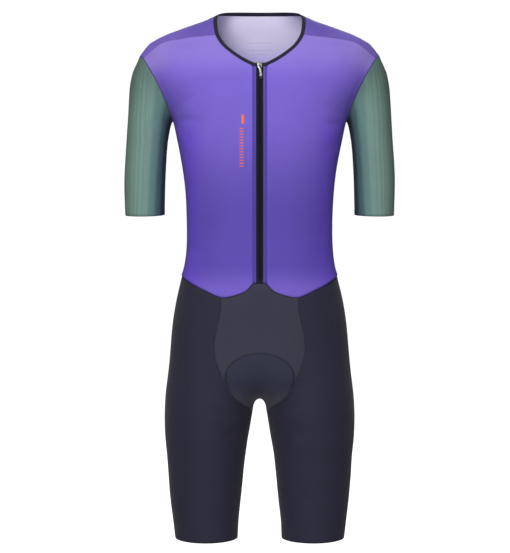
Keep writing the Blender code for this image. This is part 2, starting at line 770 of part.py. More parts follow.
def wall(name, faces, points, normals, thick, finish):
    """A closed wall under a piece of the outer skin."""
    faces = halved(faces, points)
    used = sorted({k for face in faces for k in face})
    number = {k: n for n, k in enumerate(used)}
    pull = seam_pull(faces, points, normals)
    outer = [points[k] + pull.get(k, 0.0) for k in used]
    inner = [p - normals[k] * thick for p, k in zip(outer, used)]
    count = len(used)
    solid = [tuple(number[k] for k in face) for face in faces]
    solid += [tuple(number[k] + count for k in reversed(face)) for face in faces]
    for uses in edge_uses(faces).values():
        if len(uses) == 1:
            solid += rim(*uses[0], number, count)
    return place_object(name, outer + inner, solid, finish)


def rim(start, end, number, count):
    """The two triangles between a border edge and the one inside it. Neighbours cut theirs the same way."""
    a, b = number[start], number[end]
    if start < end:
        return [(b, a, b + count), (a, a + count, b + count)]
    return [(b, a, a + count), (b, a + count, b + count)]


def sweep(name, sections, finish):
    """A closed bar through sections that all have the same number of points."""
    size = len(sections[0])
    points = [p for section in sections for p in section]
    faces = [tuple(range(size)), tuple(reversed(range(len(points) - size, len(points))))]
    for s in range(len(sections) - 1):
        for k in range(size):
            a, b = s * size + k, s * size + (k + 1) % size
            faces.append((b, a, a + size, b + size))
    return place_object(name, points, faces, finish)


def neck_path(skin):
    """The points round the neck edge, from the left front panel's zip edge to the right one's."""
    path = []
    for side in ("_left", "_right"):
        corner = skin.grids["front" + side + "_zip"][-1][0]
        ahead = [row[0] for row in skin.grids["front" + side + "_chest"][ZIP_ROWS:]]
        behind = [row[0] for row in skin.grids["back" + side]]
        half = [corner] + ahead + behind[::-1][1:]
        path += half if side == "_left" else half[::-1][1:]
    return path


def neck_binding(skin, points, normals):
    """A flat folded band that runs on from the panels' neck edges, from zip edge to zip edge."""
    path = neck_path(skin)
    line = points[path]
    ways = np.gradient(line, axis=0)
    sections = []
    for k, place, way in zip(path, line, ways):
        normal = normals[k]
        out = np.cross(way / np.linalg.norm(way), normal)
        if k in (path[0], path[-1]):
            out[0] = 0.0
        out /= np.linalg.norm(out)
        out = out if out[2] > 0 else -out
        near, far = place + out * SEAM_GAP / 2, place + out * BINDING_WIDTH
        top, low = normal * BINDING_PROUD, -normal * CLOTH
        sections.append([near + top, far + top, far + low, near + low])
    return sweep("neck_binding", sections, BLACK)


def zip_rows(skin, points, normals):
    """Places down the zip: each row's front edge, its next column and the surface direction."""
    for row in skin.grids["front_left"] + skin.grids["front_left_zip"][1:]:
        edge, inside = points[row[0]], points[row[1]]
        normal = normals[row[0]] * (0, 1, 1)
        yield edge, inside, normal / np.linalg.norm(normal)


def zip_tape(skin, points, normals, side):
    """A flat tape behind one front edge, from the middle line out under the panel."""
    low = CLOTH + SEAM_GAP
    sections = []
    for edge, inside, normal in zip_rows(skin, points, normals):
        reach = (TAPE_REACH - edge[0]) / (inside[0] - edge[0])
        places = [
            np.array([SEAM_GAP / 2, *edge[1:]]),
            edge,
            edge + (inside - edge) * reach,
        ]
        face = [p - normal * low for p in places]
        back = [p - normal * (low + TAPE_THICK) for p in places]
        sections.append(np.array(face + back[::-1]))
    sections.append(run_on(sections[-2], sections[-1], TAPE_RISE) - normal * TAPE_TURN)
    sections.insert(0, run_on(sections[1], sections[0], TAPE_DROP))
    if side == "right":
        sections = [mirrored(section) for section in sections]
    return sweep("zip_tape_" + side, sections, BLACK)


def run_on(before, last, distance):
    """The section that lies this far beyond the last one. Less than zero lies before it."""
    way = (last - before).mean(axis=0)
    return last + way / np.linalg.norm(way) * distance


def zip_chain(skin, points, normals):
    """The closed row of coils, as a plain bar on the two tapes, up to the slider."""
    bevel = 0.5
    across = np.array([1.0, 0.0, 0.0])
    profile = (
        (-CHAIN_HALF, 0.0),
        (-CHAIN_HALF, CHAIN_THICK - bevel),
        (-CHAIN_HALF + bevel, CHAIN_THICK),
        (CHAIN_HALF - bevel, CHAIN_THICK),
        (CHAIN_HALF, CHAIN_THICK - bevel),
        (CHAIN_HALF, 0.0),
    )
    sections = []
    for edge, _, normal in zip_rows(skin, points, normals):
        middle = np.array([0.0, *edge[1:]]) - normal * CLOTH
        sections.append(np.array([middle + across * x + normal * h for x, h in profile]))
    way_down = zip_top(skin, points, normals).down[2]
    under_slider = SLIDER_BODY[-1].down + 0.4 - (NECK_ZIP_END.z - SLIDER_TOP) / way_down
    sections[-1] = run_on(sections[-2], sections[-1], -under_slider)
    sections[0] = run_on(sections[1], sections[0], -SEAM_GAP)
    return sweep("zip_chain", sections, BLACK)


def seat_pad(skin, points, normals):
    """The pad inside the centre panel: an arch in front, then along the gusset to near its tip."""
    rows = skin.grids["shorts_front"]
    place = np.array([[points[k] for k in row] for row in rows])
    away = np.array([[normals[k] for k in row] for row in rows])
    columns = 2 * SEAM_COLUMN + 1
    shares = np.linspace(-1, 1, columns + 1)
    shares[0], shares[-1] = -PAD_MARGIN, PAD_MARGIN
    straight = range(math.ceil(SEAT_ROWS * PAD_ARCH_SIDE), len(rows) - 1)
    outer, facing = [], []
    for r in range(len(straight) + 3):
        row, lean = [], []
        for s in shares:
            lift = math.sqrt(max(0.0, 1 - (s / PAD_MARGIN) ** 2))
            arch = SEAT_ROWS * (PAD_ARCH_SIDE + (PAD_ARCH_TOP - PAD_ARCH_SIDE) * lift)
            places = [arch, (arch + straight[0]) / 2, *straight, len(rows) - 1 - PAD_SHORT]
            row.append(on_grid(place, places[r], s))
            lean.append(on_grid(away, places[r], s))
        outer.append(row)
        facing.append(lean)
    outer, facing = np.array(outer), np.array(facing)
    facing /= np.linalg.norm(facing, axis=2)[:, :, None]
    thick = np.full(outer.shape[:2], PAD_THICK)
    thick[0], thick[-1], thick[:, 0], thick[:, -1] = (PAD_RIM,) * 4
    outer = outer - facing * (CLOTH + PAD_CLEAR)
    inner = outer - facing * thick[:, :, None]
    return slab("seat_pad", outer, inner, PAD_BLUE)


def on_grid(grid, at, s):
    """A point of the centre panel at a fractional row, and at a share of its half width."""
    low = min(int(at), len(grid) - 2)
    row = grid[low] + (grid[low + 1] - grid[low]) * (at - low)
    shares = np.linspace(-1, 1, 2 * SEAM_COLUMN + 2)
    return np.array([np.interp(s, shares, row[:, k]) for k in range(3)])


def slab(name, outer, inner, finish):
    """A closed solid between two grids of points."""
    rows, columns = outer.shape[:2]
    count = rows * columns
    number = np.arange(count).reshape(rows, columns)
    faces = []
    for r in range(rows - 1):
        for c in range(columns - 1):
            a, b = number[r, c], number[r, c + 1]
            d, e = number[r + 1, c], number[r + 1, c + 1]
            faces.append((a, d, e, b))
            faces.append((b + count, e + count, d + count, a + count))
    border = [*number[0, :-1], *number[:-1, -1], *number[-1, :0:-1], *number[:0:-1, 0]]
    for a, b in zip(border, border[1:] + border[:1]):
        faces.append((a, b, b + count, a + count))
    return place_object(name, [*outer.reshape(-1, 3), *inner.reshape(-1, 3)], faces, finish)


# ---- slider and pull -----------------------------------------------------------

ACROSS = np.array([1.0, 0.0, 0.0])
ZipTop = namedtuple("ZipTop", "top down out")


def zip_top(skin, points, normals):
    """The slider's upper end on the skin, and the ways down the zip and out from it."""
    rows = list(zip_rows(skin, points, normals))
    high, low = rows[-1][0], rows[-2][0]
    down = (low - high) * (0, 1, 1)
    down /= np.linalg.norm(down)
    start = high * (0, 1, 1)
    out = np.cross(ACROSS, down)
    out = out if out[1] < 0 else -out
    return ZipTop(start + down * ((SLIDER_TOP - start[2]) / down[2]), down, out)


def plate(name, stations, holes, start, across, down, out, thick, finish, origin=(0.0, 0.0, 0.0)):
    """A flat plate of changing width. A row of cells named in holes is open in its middle."""
    points = []
    for level in thick:
        for row in stations:
            for x in (-row.half, -row.hole, row.hole, row.half):
                points.append(start + across * x + down * row.down + out * level)
    count = len(stations) * 4
    cells = []
    for r in range(len(stations) - 1):
        for c in range(3):
            if not (c == 1 and r in holes):
                k = r * 4 + c
                cells.append((k, k + 1, k + 5, k + 4))
    faces = list(cells)
    faces += [tuple(k + count for k in reversed(cell)) for cell in cells]
    for uses in edge_uses(cells).values():
        if len(uses) == 1:
            a, b = uses[0]
            faces.append((b, a, a + count, b + count))
    return place_object(name, points, faces, finish, origin)


def bridge(zip_end):
    """The loop on the slider's face that holds the pull, as a thick staple seen from the side."""
    outline = (
        (1.2, SLIDER_HIGH - 0.5),
        (1.2, BRIDGE_HIGH - 1.2),
        (2.4, BRIDGE_HIGH),
        (7.6, BRIDGE_HIGH),
        (9.0, BRIDGE_HIGH - 1.2),
        (9.0, SLIDER_HIGH - 0.5),
        (7.6, SLIDER_HIGH - 0.5),
        (7.6, BRIDGE_HIGH - 1.0),
        (2.6, BRIDGE_HIGH - 1.0),
        (2.6, SLIDER_HIGH - 0.5),
    )
    sections = []
    for x in (-BRIDGE_HALF, BRIDGE_HALF):
        rim = [zip_end.top + ACROSS * x + zip_end.down * d + zip_end.out * h for d, h in outline]
        sections.append(rim)
    return sweep("bridge", sections, SILVER)


def joined(base, other):
    """One body made of two that overlap."""
    union = base.modifiers.new("union", "BOOLEAN")
    union.operation = "UNION"
    union.solver = "EXACT"
    union.object = other
    bpy.context.view_layer.update()
    graph = bpy.context.evaluated_depsgraph_get()
    mesh = bpy.data.meshes.new_from_object(base.evaluated_get(graph))
    base.modifiers.clear()
    base.data = mesh
    bpy.data.objects.remove(other)
    return base


def zip_hardware(skin, points, normals):
    end = zip_top(skin, points, normals)
    body = plate(
        "zip_slider", SLIDER_BODY, (), end.top, ACROSS, end.down, end.out, (SLIDER_LOW, SLIDER_HIGH), SILVER
    )
    joined(body, bridge(end))
    pin = end.top + end.down * PIN_DOWN + end.out * PIN_OFF
    turn = Matrix.Rotation(PULL_TILT, 3, Vector(end.out))
    across = np.array(turn @ Vector(ACROSS))
    down = np.array(turn @ Vector(end.down))
    thick = (-PULL_THICK / 2, PULL_THICK / 2)
    plate("zip_pull", PULL, PULL_HOLE_ROWS, pin, across, down, end.out, thick, SILVER, pin)
    rubber = (-PULL_THICK / 2 - 0.2, PULL_THICK / 2 + 0.2)
    plate("zip_pull_grip", GRIP, (), pin, across, down, end.out, rubber, RUBBER, pin)
    return pin


def main():
    for obj in list(bpy.data.objects):
        bpy.data.objects.remove(obj)
    skin = build_skin()
    points, normals = np.array(skin.points), skin.normals()
    finishes = {"sleeve": GREEN, "leg": SLATE, "shorts": SLATE}
    for name, faces in skin.faces.items():
        finish = finishes.get(name.split("_")[0], PURPLE)
        wall(name, faces, points, normals, CLOTH, finish)
    neck_binding(skin, points, normals)
    for side in ("left", "right"):
        zip_tape(skin, points, normals, side)
    zip_chain(skin, points, normals)
    seat_pad(skin, points, normals)
    zip_hardware(skin, points, normals)


main()
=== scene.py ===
"""Looks of a short-sleeved cycling skinsuit with a front zip: cloth, seams, zip, light and camera.

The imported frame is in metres: +X is the wearer's left, -Y the front, +Z up.
"""
import json
import math
from collections import namedtuple

import bmesh
import bpy
import numpy as np
from mathutils import Matrix, Vector
from mathutils.bvhtree import BVHTree
from mathutils.kdtree import KDTree

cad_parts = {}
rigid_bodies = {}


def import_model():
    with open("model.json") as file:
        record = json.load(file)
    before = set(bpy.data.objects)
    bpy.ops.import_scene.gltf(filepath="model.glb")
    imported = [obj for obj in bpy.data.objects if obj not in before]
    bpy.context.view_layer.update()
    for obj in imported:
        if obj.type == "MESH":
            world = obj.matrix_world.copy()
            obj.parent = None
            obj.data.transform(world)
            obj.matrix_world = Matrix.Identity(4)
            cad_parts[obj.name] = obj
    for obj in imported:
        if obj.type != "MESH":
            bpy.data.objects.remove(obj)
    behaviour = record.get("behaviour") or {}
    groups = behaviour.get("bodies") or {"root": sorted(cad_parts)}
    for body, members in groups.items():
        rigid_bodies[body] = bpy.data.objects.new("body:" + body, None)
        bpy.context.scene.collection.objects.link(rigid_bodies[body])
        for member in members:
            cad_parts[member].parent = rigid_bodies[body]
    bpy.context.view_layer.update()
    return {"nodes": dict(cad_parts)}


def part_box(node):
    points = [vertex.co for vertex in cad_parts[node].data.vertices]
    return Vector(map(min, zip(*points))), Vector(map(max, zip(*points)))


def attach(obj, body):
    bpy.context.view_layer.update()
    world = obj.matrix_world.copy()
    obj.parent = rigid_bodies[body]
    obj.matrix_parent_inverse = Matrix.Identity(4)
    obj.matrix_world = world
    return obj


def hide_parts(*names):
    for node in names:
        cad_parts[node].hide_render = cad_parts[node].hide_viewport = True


MM = 0.001

for startup in list(bpy.data.objects):
    bpy.data.objects.remove(startup)
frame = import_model()

# ---- sizes, in millimetres ----

WALL = 1.5  # of the frame's cut panels
RIM_WIDEST = WALL + 0.4  # a face with a shorter side than this is on a wall's edge
CLOTH = 0.9  # the wall as it shows here
SEAM_GAP = 0.3  # between two panels in the frame
WELD = 1.2  # corners closer than this come together at a seam
LEVELS = 3  # subdivisions of the cloth
SHARP_TURN = 125  # an open edge tighter than this keeps its corner, in degrees
FAR = 60.0  # distances to seams and edges are measured this far
YOKE_LOWEST = -170.0  # the shoulder seams lie above this
ZIP_TOP = -90.0  # the zip's edges lie below this,
ZIP_REACH = 7.5  # and this near the middle line

# A cut panel: what it wraps round, its slot, and the flat cut's width, length and area
Panel = namedtuple("Panel", "node core slot flat area")
PANELS = (
    Panel("back", (0, 0, -250), "purple_cloth", (0.403, 0.601), 0.2010),
    Panel("front_left", (0, 0, -250), "purple_cloth", (0.197, 0.485), 0.0817),
    Panel("front_right", (0, 0, -250), "purple_cloth", (0.197, 0.485), 0.0817),
    Panel("sleeve_left", None, "green_cloth", (0.270, 0.304), 0.0614),
    Panel("sleeve_right", None, "green_cloth", (0.270, 0.304), 0.0614),
    Panel("shorts_front", (0, 0, -550), "slate_cloth", (0.148, 0.348), 0.0334),
    Panel("leg_left", None, "slate_cloth", (0.519, 0.475), 0.1853),
    Panel("leg_right", None, "slate_cloth", (0.519, 0.475), 0.1853),
)
NUMBER = {panel.node: k for k, panel in enumerate(PANELS)}
TOP = [NUMBER[n] for n in ("back", "front_left", "front_right")]
SLEEVES = [NUMBER[n] for n in ("sleeve_left", "sleeve_right")]
SHORTS = [NUMBER[n] for n in ("shorts_front", "leg_left", "leg_right")]

# A change that comes in smoothly from one place to another
Span = namedtuple("Span", "low high")

# The rounded yoke stands a little over its solid, so it sinks back
SINK = 1.5  # over most of the shoulder,
SINK_MORE = 0.6  # and so much more near the arm
SINK_STARTS = Span(88, 106)  # distances from the middle line
SINK_GROWS = Span(165, 180)
SINK_ENDS = Span(192, 210)
SINK_HEIGHTS = Span(-70, -46)
SINK_OFF_SEAM = Span(1, 12)  # distances from the shoulder seam

# The skin beside the armholes is evened out, at these distances from them
EVEN_STARTS = Span(1.0, 6.0)
EVEN_ENDS = Span(22.0, 34.0)
EVEN_ROUNDS = 30

# The zip and its surroundings
ZIP_SHOWS = 0.8  # the fronts draw back from the zip by this much
ZIP_DRAWS = 7.0  # over about this width
BESIDE_ZIP = 11.0  # the cloth stands proud at this distance from its edge,
BESIDE_WIDE = 8.0  # over about this width
BESIDE_LEAST = 0.35  # by this much,
BESIDE_WAVE = 0.75  # and up to this much more in slow waves

# The pad's arched front edge shows through the front of the shorts
PAD_MIDDLE, PAD_WIDE, PAD_TALL = -664.0, 63.0, 45.0
PAD_RISE = 1.3

UNEVEN = 0.22  # long slow unevenness, so that no light line is ruled
SEAM_DEEP, SEAM_WIDE = 0.45, 1.6
HEM_DEEP, HEM_WIDE = 0.35, 1.5

# At the waist the top lies over the shorts, and hangs over them at the sides
WAIST_OVER, WAIST_UNDER, WAIST_WIDE = 0.75, 0.35, 2.6
FLARE, FLARE_WIDE = 1.1, 8.0
FLARE_SIDES = Span(104.0, 128.0)

# A crease comes in and goes over these shares of its length, where the cloth faces its side
CREASE_STARTS = Span(-0.15, 0.25)
CREASE_ENDS = Span(0.55, 1.15)
CREASE_FACES = Span(-0.15, 0.35)

# Soft troughs and ridges: ends as (x, z), how far the middle bows, half width, and depth
CREASES = {
    "front": (
        # armpits, towards the chest
        ((158, -186), (96, -158), 5, 7.0, -1.5), ((154, -204), (112, -214), -4, 6.0, -1.2),
        ((150, -226), (104, -262), 6, 9.0, -1.0), ((160, -166), (140, -134), -3, 9.0, 0.4),
        ((-157, -184), (-102, -150), 4, 6.5, -1.3), ((-155, -200), (-100, -206), 5, 8.0, -1.4),
        ((-149, -232), (-118, -275), -5, 7.5, -0.8), ((-161, -168), (-144, -140), 4, 9.0, 0.4),
        # the sides above the waist
        ((132, -372), (84, -392), 4, 8.0, -0.6), ((133, -405), (66, -414), -5, 9.0, -0.8),
        ((136, -446), (92, -462), 4, 7.0, -0.6), ((-131, -385), (-72, -398), 5, 9.0, -0.7),
        ((-134, -424), (-90, -440), -4, 7.0, -0.7), ((-138, -458), (-60, -474), 5, 8.0, -0.5),
        # the crotch, out over the thighs
        ((16, -714), (74, -672), 8, 7.0, -1.2), ((24, -728), (96, -716), 5, 8.0, -1.3),
        ((34, -744), (92, -772), -5, 9.0, -1.0), ((-15, -716), (-66, -668), -7, 7.0, -1.1),
        ((-26, -730), (-104, -724), 5, 8.5, -1.4), ((-36, -748), (-84, -788), 5, 8.0, -0.8),
        # thighs and leg ends
        ((136, -640), (150, -760), -5, 11.0, -0.7), ((-140, -655), (-146, -790), 6, 10.0, -0.8),
        ((62, -880), (120, -902), 4, 9.0, -0.5), ((-66, -868), (-128, -884), -4, 9.0, -0.5),
        # sleeves
        ((182, -182), (206, -226), 4, 6.0, -0.8), ((190, -262), (226, -282), -3, 7.0, -0.5),
        ((-184, -190), (-210, -240), -4, 6.5, -0.8), ((-192, -290), (-232, -304), 3, 7.0, -0.5),
    ),
    "back": (
        # armpits, the hollow of the waist, under the seat
        ((156, -190), (92, -160), -6, 8.0, -1.4), ((150, -222), (88, -244), 5, 8.0, -1.1),
        ((-157, -186), (-100, -150), 5, 7.0, -1.3), ((-151, -216), (-84, -226), -5, 9.0, -1.2),
        ((118, -372), (20, -392), 6, 10.0, -1.2), ((126, -408), (-34, -420), -7, 11.0, -1.5),
        ((-124, -386), (-44, -402), 5, 9.0, -1.1), ((-128, -440), (10, -452), 5, 10.0, -0.9),
        ((22, -700), (112, -716), 9, 9.0, -1.6), ((40, -724), (130, -752), 6, 8.0, -0.9),
        ((-20, -702), (-104, -712), -8, 9.5, -1.5), ((-46, -730), (-124, -764), 6, 8.0, -1.0),
        ((186, -196), (222, -232), 4, 7.0, -0.8), ((-188, -204), (-226, -236), -4, 7.0, -0.8),
        ((60, -872), (128, -890), 4, 9.0, -0.5), ((-58, -884), (-118, -898), -4, 9.0, -0.5),
    ),
}


# ---- the skin of the whole suit ----

def mesh_of(bm, name):
    """A mesh from a bmesh, which is then gone."""
    mesh = bpy.data.meshes.new(name)
    bm.to_mesh(mesh)
    bm.free()
    return mesh


def merged(node):
    """A frame node's mesh as a bmesh, with its loose triangles joined up."""
    bm = bmesh.new()
    bm.from_mesh(frame["nodes"][node].data)
    bmesh.ops.remove_doubles(bm, verts=bm.verts, dist=0.01 * MM)
    return bm


def islands(bm):
    """The faces in groups that hang together."""
    left, found = set(bm.faces), []
    while left:
        island = [left.pop()]
        for face in island:
            near = {other for edge in face.edges for other in edge.link_faces} & left
            left -= near
            island += near
        found.append(island)
    return found


def outer_skin(panel):
    """The outer face of a panel's wall."""
    bm = merged(panel.node)
    rim = [f for f in bm.faces if min(e.calc_length() for e in f.edges) < RIM_WIDEST * MM]
    bmesh.ops.delete(bm, geom=rim, context="FACES")
    if panel.core:
        core = Vector(panel.core) * MM
    else:
        low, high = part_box(panel.node)
        core = (low + high) / 2

    def flux(island):
        return sum(f.calc_area() * f.normal.dot(f.calc_center_median() - core) for f in island)

    inner = [f for island in sorted(islands(bm), key=flux)[:-1] for f in island]
    bmesh.ops.delete(bm, geom=inner, context="FACES")
    for face in bm.faces:
        face.material_index = NUMBER[panel.node]
    return bm


def weld_gaps(bm):
    """Brings the panels' edges together in the middle of the gaps, and joins them."""
    rim = [v for v in bm.verts if v.is_boundary]
    tree = KDTree(len(rim))
    for k, vert in enumerate(rim):
        tree.insert(vert.co, k)
    tree.balance()
    middles = []
    for vert in rim:
        near = [place for place, _, _ in tree.find_range(vert.co, WELD * MM)]
        middles.append(sum(near, Vector()) / len(near))
    for vert, middle in zip(rim, middles):
        vert.co = middle
    bmesh.ops.remove_doubles(bm, verts=rim, dist=SEAM_GAP * MM)


def squareness(edge):
    """How far the four-sided face across this edge would be from square, in radians."""
    a, b = edge.verts
    c, d = (next(v for v in face.verts if v not in edge.verts) for face in edge.link_faces)
    worst = 0.0
    for corner, one, two in ((a, c, d), (b, c, d), (c, a, b), (d, a, b)):
        angle = (one.co - corner.co).angle(two.co - corner.co)
        worst = max(worst, abs(angle - math.pi / 2))
    return worst


def pair_up(bm):
    """Joins the triangles in twos, so that each cell of the panels' grids is one face again."""
    bm.faces.ensure_lookup_table()
    bm.faces.index_update()
    shared = {}
    for edge in bm.edges:
        if len(edge.link_faces) == 2 and len({f.material_index for f in edge.link_faces}) == 1:
            shared[tuple(sorted(f.index for f in edge.link_faces))] = edge
    ranked = sorted(shared, key=lambda pair: (squareness(shared[pair]), pair))
    near = {face.index: [] for face in bm.faces}
    mates = {}
    for a, b in ranked:
        near[a].append(b)
        near[b].append(a)
        if a not in mates and b not in mates:
            mates[a], mates[b] = b, a
    for lone in sorted(near):
        if lone not in mates:
            find_mate(lone, near, mates)
    dropped = [shared[a, b] for a, b in mates.items() if a < b]
    bmesh.ops.dissolve_edges(bm, edges=dropped, use_verts=False, use_face_split=False)


def find_mate(lone, near, mates):
    """Pairs a lone triangle by pairing anew along the shortest way to another lone one."""
    came, queue = {lone: None}, [lone]
    for at in queue:
        for other in near[at]:
            if other in came:
                continue
            if other not in mates:
                while at is not None:
                    before = mates.get(at)
                    mates[at], mates[other] = other, at
                    other, at = before, came.get(before)
                return
            came[other] = at
            came[mates[other]] = other
            queue.append(mates[other])


def new_object(name, mesh):
    made = bpy.data.objects.new(name, mesh)
    bpy.context.scene.collection.objects.link(made)
    return made


def hold_corners(bm):
    """Marks the places where an open edge turns sharply, so that smoothing keeps them."""
    held = bm.verts.layers.float.new("crease_vert")
    for vert in bm.verts:
        rim = [e.other_vert(vert).co - vert.co for e in vert.link_edges if e.is_boundary]
        if len(rim) == 2 and rim[0].angle(rim[1]) < math.radians(SHARP_TURN):
            vert[held] = 1.0


def held_smooth(bm, level, rounds=5):
    """The bmesh subdivided smoothly, still passing through its own points."""
    hold_corners(bm)
    mesh = mesh_of(bm, "rough")
    rough = new_object("rough", mesh)
    smooth = rough.modifiers.new("Smooth", "SUBSURF")
    smooth.levels = smooth.render_levels = level
    smooth.boundary_smooth = "PRESERVE_CORNERS"
    wanted = read_points(mesh)
    held = wanted.copy()
    for _ in range(rounds):
        mesh.vertices.foreach_set("co", held.ravel())
        mesh.update()
        graph = bpy.context.evaluated_depsgraph_get()
        fine = bpy.data.meshes.new_from_object(rough.evaluated_get(graph))
        held += wanted - read_points(fine)[: len(wanted)]
    bpy.data.objects.remove(rough)
    return fine


def whole_skin():
    """The skin's points, four-sided faces and panel numbers."""
    bm = bmesh.new()
    for panel in PANELS:
        scratch = mesh_of(outer_skin(panel), "scratch")
        bm.from_mesh(scratch)
        bpy.data.meshes.remove(scratch)
    weld_gaps(bm)
    pair_up(bm)
    fine = held_smooth(bm, LEVELS)
    corners = np.empty(len(fine.loops), np.int32)
    fine.loops.foreach_get("vertex_index", corners)
    numbers = np.empty(len(fine.polygons), np.int32)
    fine.polygons.foreach_get("material_index", numbers)
    return read_points(fine), corners.reshape(-1, 4), numbers


def read_points(mesh):
    """The mesh's points, as rows of an array."""
    points = np.empty(len(mesh.vertices) * 3, np.float32)
    mesh.vertices.foreach_get("co", points)
    return points.reshape(-1, 3).astype(float)


def unit(vectors):
    return vectors / np.maximum(np.linalg.norm(vectors, axis=1, keepdims=True), 1e-12)


def point_normals(points, quads):
    """The normal at each point, from the faces round it by their areas."""
    first, second, third, fourth = (points[quads[:, k]] for k in range(4))
    across = np.cross(third - first, fourth - second)
    normals = np.zeros_like(points)
    for k in range(4):
        np.add.at(normals, quads[:, k], across)
    return unit(normals)


def face_sides(quads):
    """The four sides of every face, as pairs of point numbers in order."""
    return np.sort(np.concatenate([quads[:, [k, (k + 1) % 4]] for k in range(4)]), axis=1)


def find_borders(quads, numbers):
    """The edges where panels meet or one ends, by the pair of numbers, with -1 for none."""
    ends = face_sides(quads)
    owner = np.tile(numbers, 4)
    key = ends[:, 0].astype(np.int64) * (quads.max() + 1) + ends[:, 1]
    order = np.argsort(key, kind="stable")
    key, ends, owner = key[order], ends[order], owner[order]
    first = np.flatnonzero(np.concatenate([[True], key[1:] != key[:-1]]))
    count = np.diff(np.concatenate([first, [len(key)]]))
    found = {}
    for start, number in zip(first, count):
        a = int(owner[start])
        b = int(owner[start + 1]) if number > 1 else -1
        if a != b:
            edge = tuple(int(end) for end in ends[start])
            found.setdefault((min(a, b), max(a, b)), []).append(edge)
    return found


def distance_to(points, edges, steps=8):
    """How far each point is from the nearest of these edges, in millimetres up to FAR."""
    edges = np.array(edges)
    a, b = points[edges[:, 0]], points[edges[:, 1]]
    shares = np.linspace(0, 1, steps, endpoint=False)
    samples = np.concatenate([a + (b - a) * share for share in shares])
    tree = KDTree(len(samples))
    for k, place in enumerate(samples):
        tree.insert(place, k)
    tree.balance()
    return np.minimum([tree.find(point)[2] / MM for point in points], FAR)


def chains(edges):
    """Edges joined end to end, as lists of point numbers."""
    near = {}
    for a, b in edges:
        near.setdefault(a, []).append(b)
        near.setdefault(b, []).append(a)
    left = {tuple(sorted(e)) for e in edges}

    def onward(at):
        return [other for other in near[at] if tuple(sorted((at, other))) in left]

    found = []
    while left:
        loose = [a for a in near if len(onward(a)) == 1]
        line = [min(loose) if loose else min(left)[0]]
        while ahead := onward(line[-1]):
            left.remove(tuple(sorted((line[-1], ahead[0]))))
            line.append(ahead[0])
        found.append(line)
    return found


def eased(value, low, high):
    """0 below low, 1 above high and smooth between."""
    t = np.clip((value - low) / (high - low), 0, 1)
    return t * t * (3 - 2 * t)


def bump(distance, width):
    """1 at no distance, and fading over about this width on each side."""
    return np.exp(-(distance / width) ** 2)


def crease_depth(points, normals):
    """How far each point moves along its normal for the listed creases."""
    x, z = points[:, 0] / MM, points[:, 2] / MM
    moved = np.zeros(len(points))
    for side, creases in CREASES.items():
        facing = normals[:, 1] if side == "back" else -normals[:, 1]
        for start, end, bow, width, depth in creases:
            way = np.subtract(end, start)
            length = np.linalg.norm(way)
            way = way / length
            t = ((x - start[0]) * way[0] + (z - start[1]) * way[1]) / length
            off = (z - start[1]) * way[0] - (x - start[0]) * way[1] - bow * 4 * t * (1 - t)
            ends = eased(t, *CREASE_STARTS) * (1 - eased(t, *CREASE_ENDS))
            moved += depth * bump(off, width) * ends * eased(facing, *CREASE_FACES)
    return moved


def relaxed(points, quads, share):
    """The skin evened out where share is 1, so that no ridge follows a seam."""
    ends = np.unique(face_sides(quads), axis=0)
    one, two = np.concatenate([ends, ends[:, ::-1]]).T
    count = np.bincount(one, minlength=len(points))
    points = points.copy()
    for _ in range(EVEN_ROUNDS):
        for k in range(3):
            mean = np.bincount(one, weights=points[two, k], minlength=len(points)) / count
            points[:, k] += 0.5 * share * (mean - points[:, k])
    return points


def settled(points, yoke_gap):
    """The skin with its rounded yoke sunk back onto its solid."""
    across, height = np.abs(points[:, 0]) / MM, points[:, 2] / MM
    over = SINK * eased(across, *SINK_STARTS) + SINK_MORE * eased(across, *SINK_GROWS)
    over *= 1 - eased(across, *SINK_ENDS)
    over *= eased(height, *SINK_HEIGHTS) * eased(yoke_gap, *SINK_OFF_SEAM)
    points = points.copy()
    points[:, 2] -= over * MM
    return points


def seams_between(group, others):
    """The edges where a panel of one group meets a panel of the other."""
    return [e for (a, b), edges in seams.items() if a in group and b in others for e in edges]


def open_ends(group):
    """The edges where a panel of the group ends."""
    return [e for k in group for e in borders.get((-1, k), [])]


def on_zip(edge):
    across, _, up = points[edge[0]] / MM
    return abs(across) < ZIP_REACH and up < ZIP_TOP


points, quads, numbers = whole_skin()
borders = find_borders(quads, numbers)
seams = {pair: edges for pair, edges in borders.items() if pair[0] >= 0}
shoulder_seam = [e for e in seams_between(TOP, TOP) if points[e[0]][2] > YOKE_LOWEST * MM]
points = settled(points, distance_to(points, shoulder_seam))
arm_gap = distance_to(points, seams_between(TOP, SLEEVES))
points = relaxed(points, quads, eased(arm_gap, *EVEN_STARTS) * (1 - eased(arm_gap, *EVEN_ENDS)))
normals = point_normals(points, quads)

all_seams = [e for edges in seams.values() for e in edges]
strong_seams = sorted(set(all_seams) - set(shoulder_seam))
zip_edges = [e for e in open_ends(TOP) if on_zip(e)]
seam_gap = distance_to(points, all_seams)
hem_gap = distance_to(points, open_ends(SLEEVES + SHORTS))
zip_gap = distance_to(points, zip_edges)
waist_gap = distance_to(points, seams_between(TOP, SHORTS))
# The shoulder seams are paler lines than the others, as if seen from a little further off
PALER_SEAM = 1.1
seam_shadow = np.minimum(
    distance_to(points, strong_seams), distance_to(points, shoulder_seam) + PALER_SEAM)

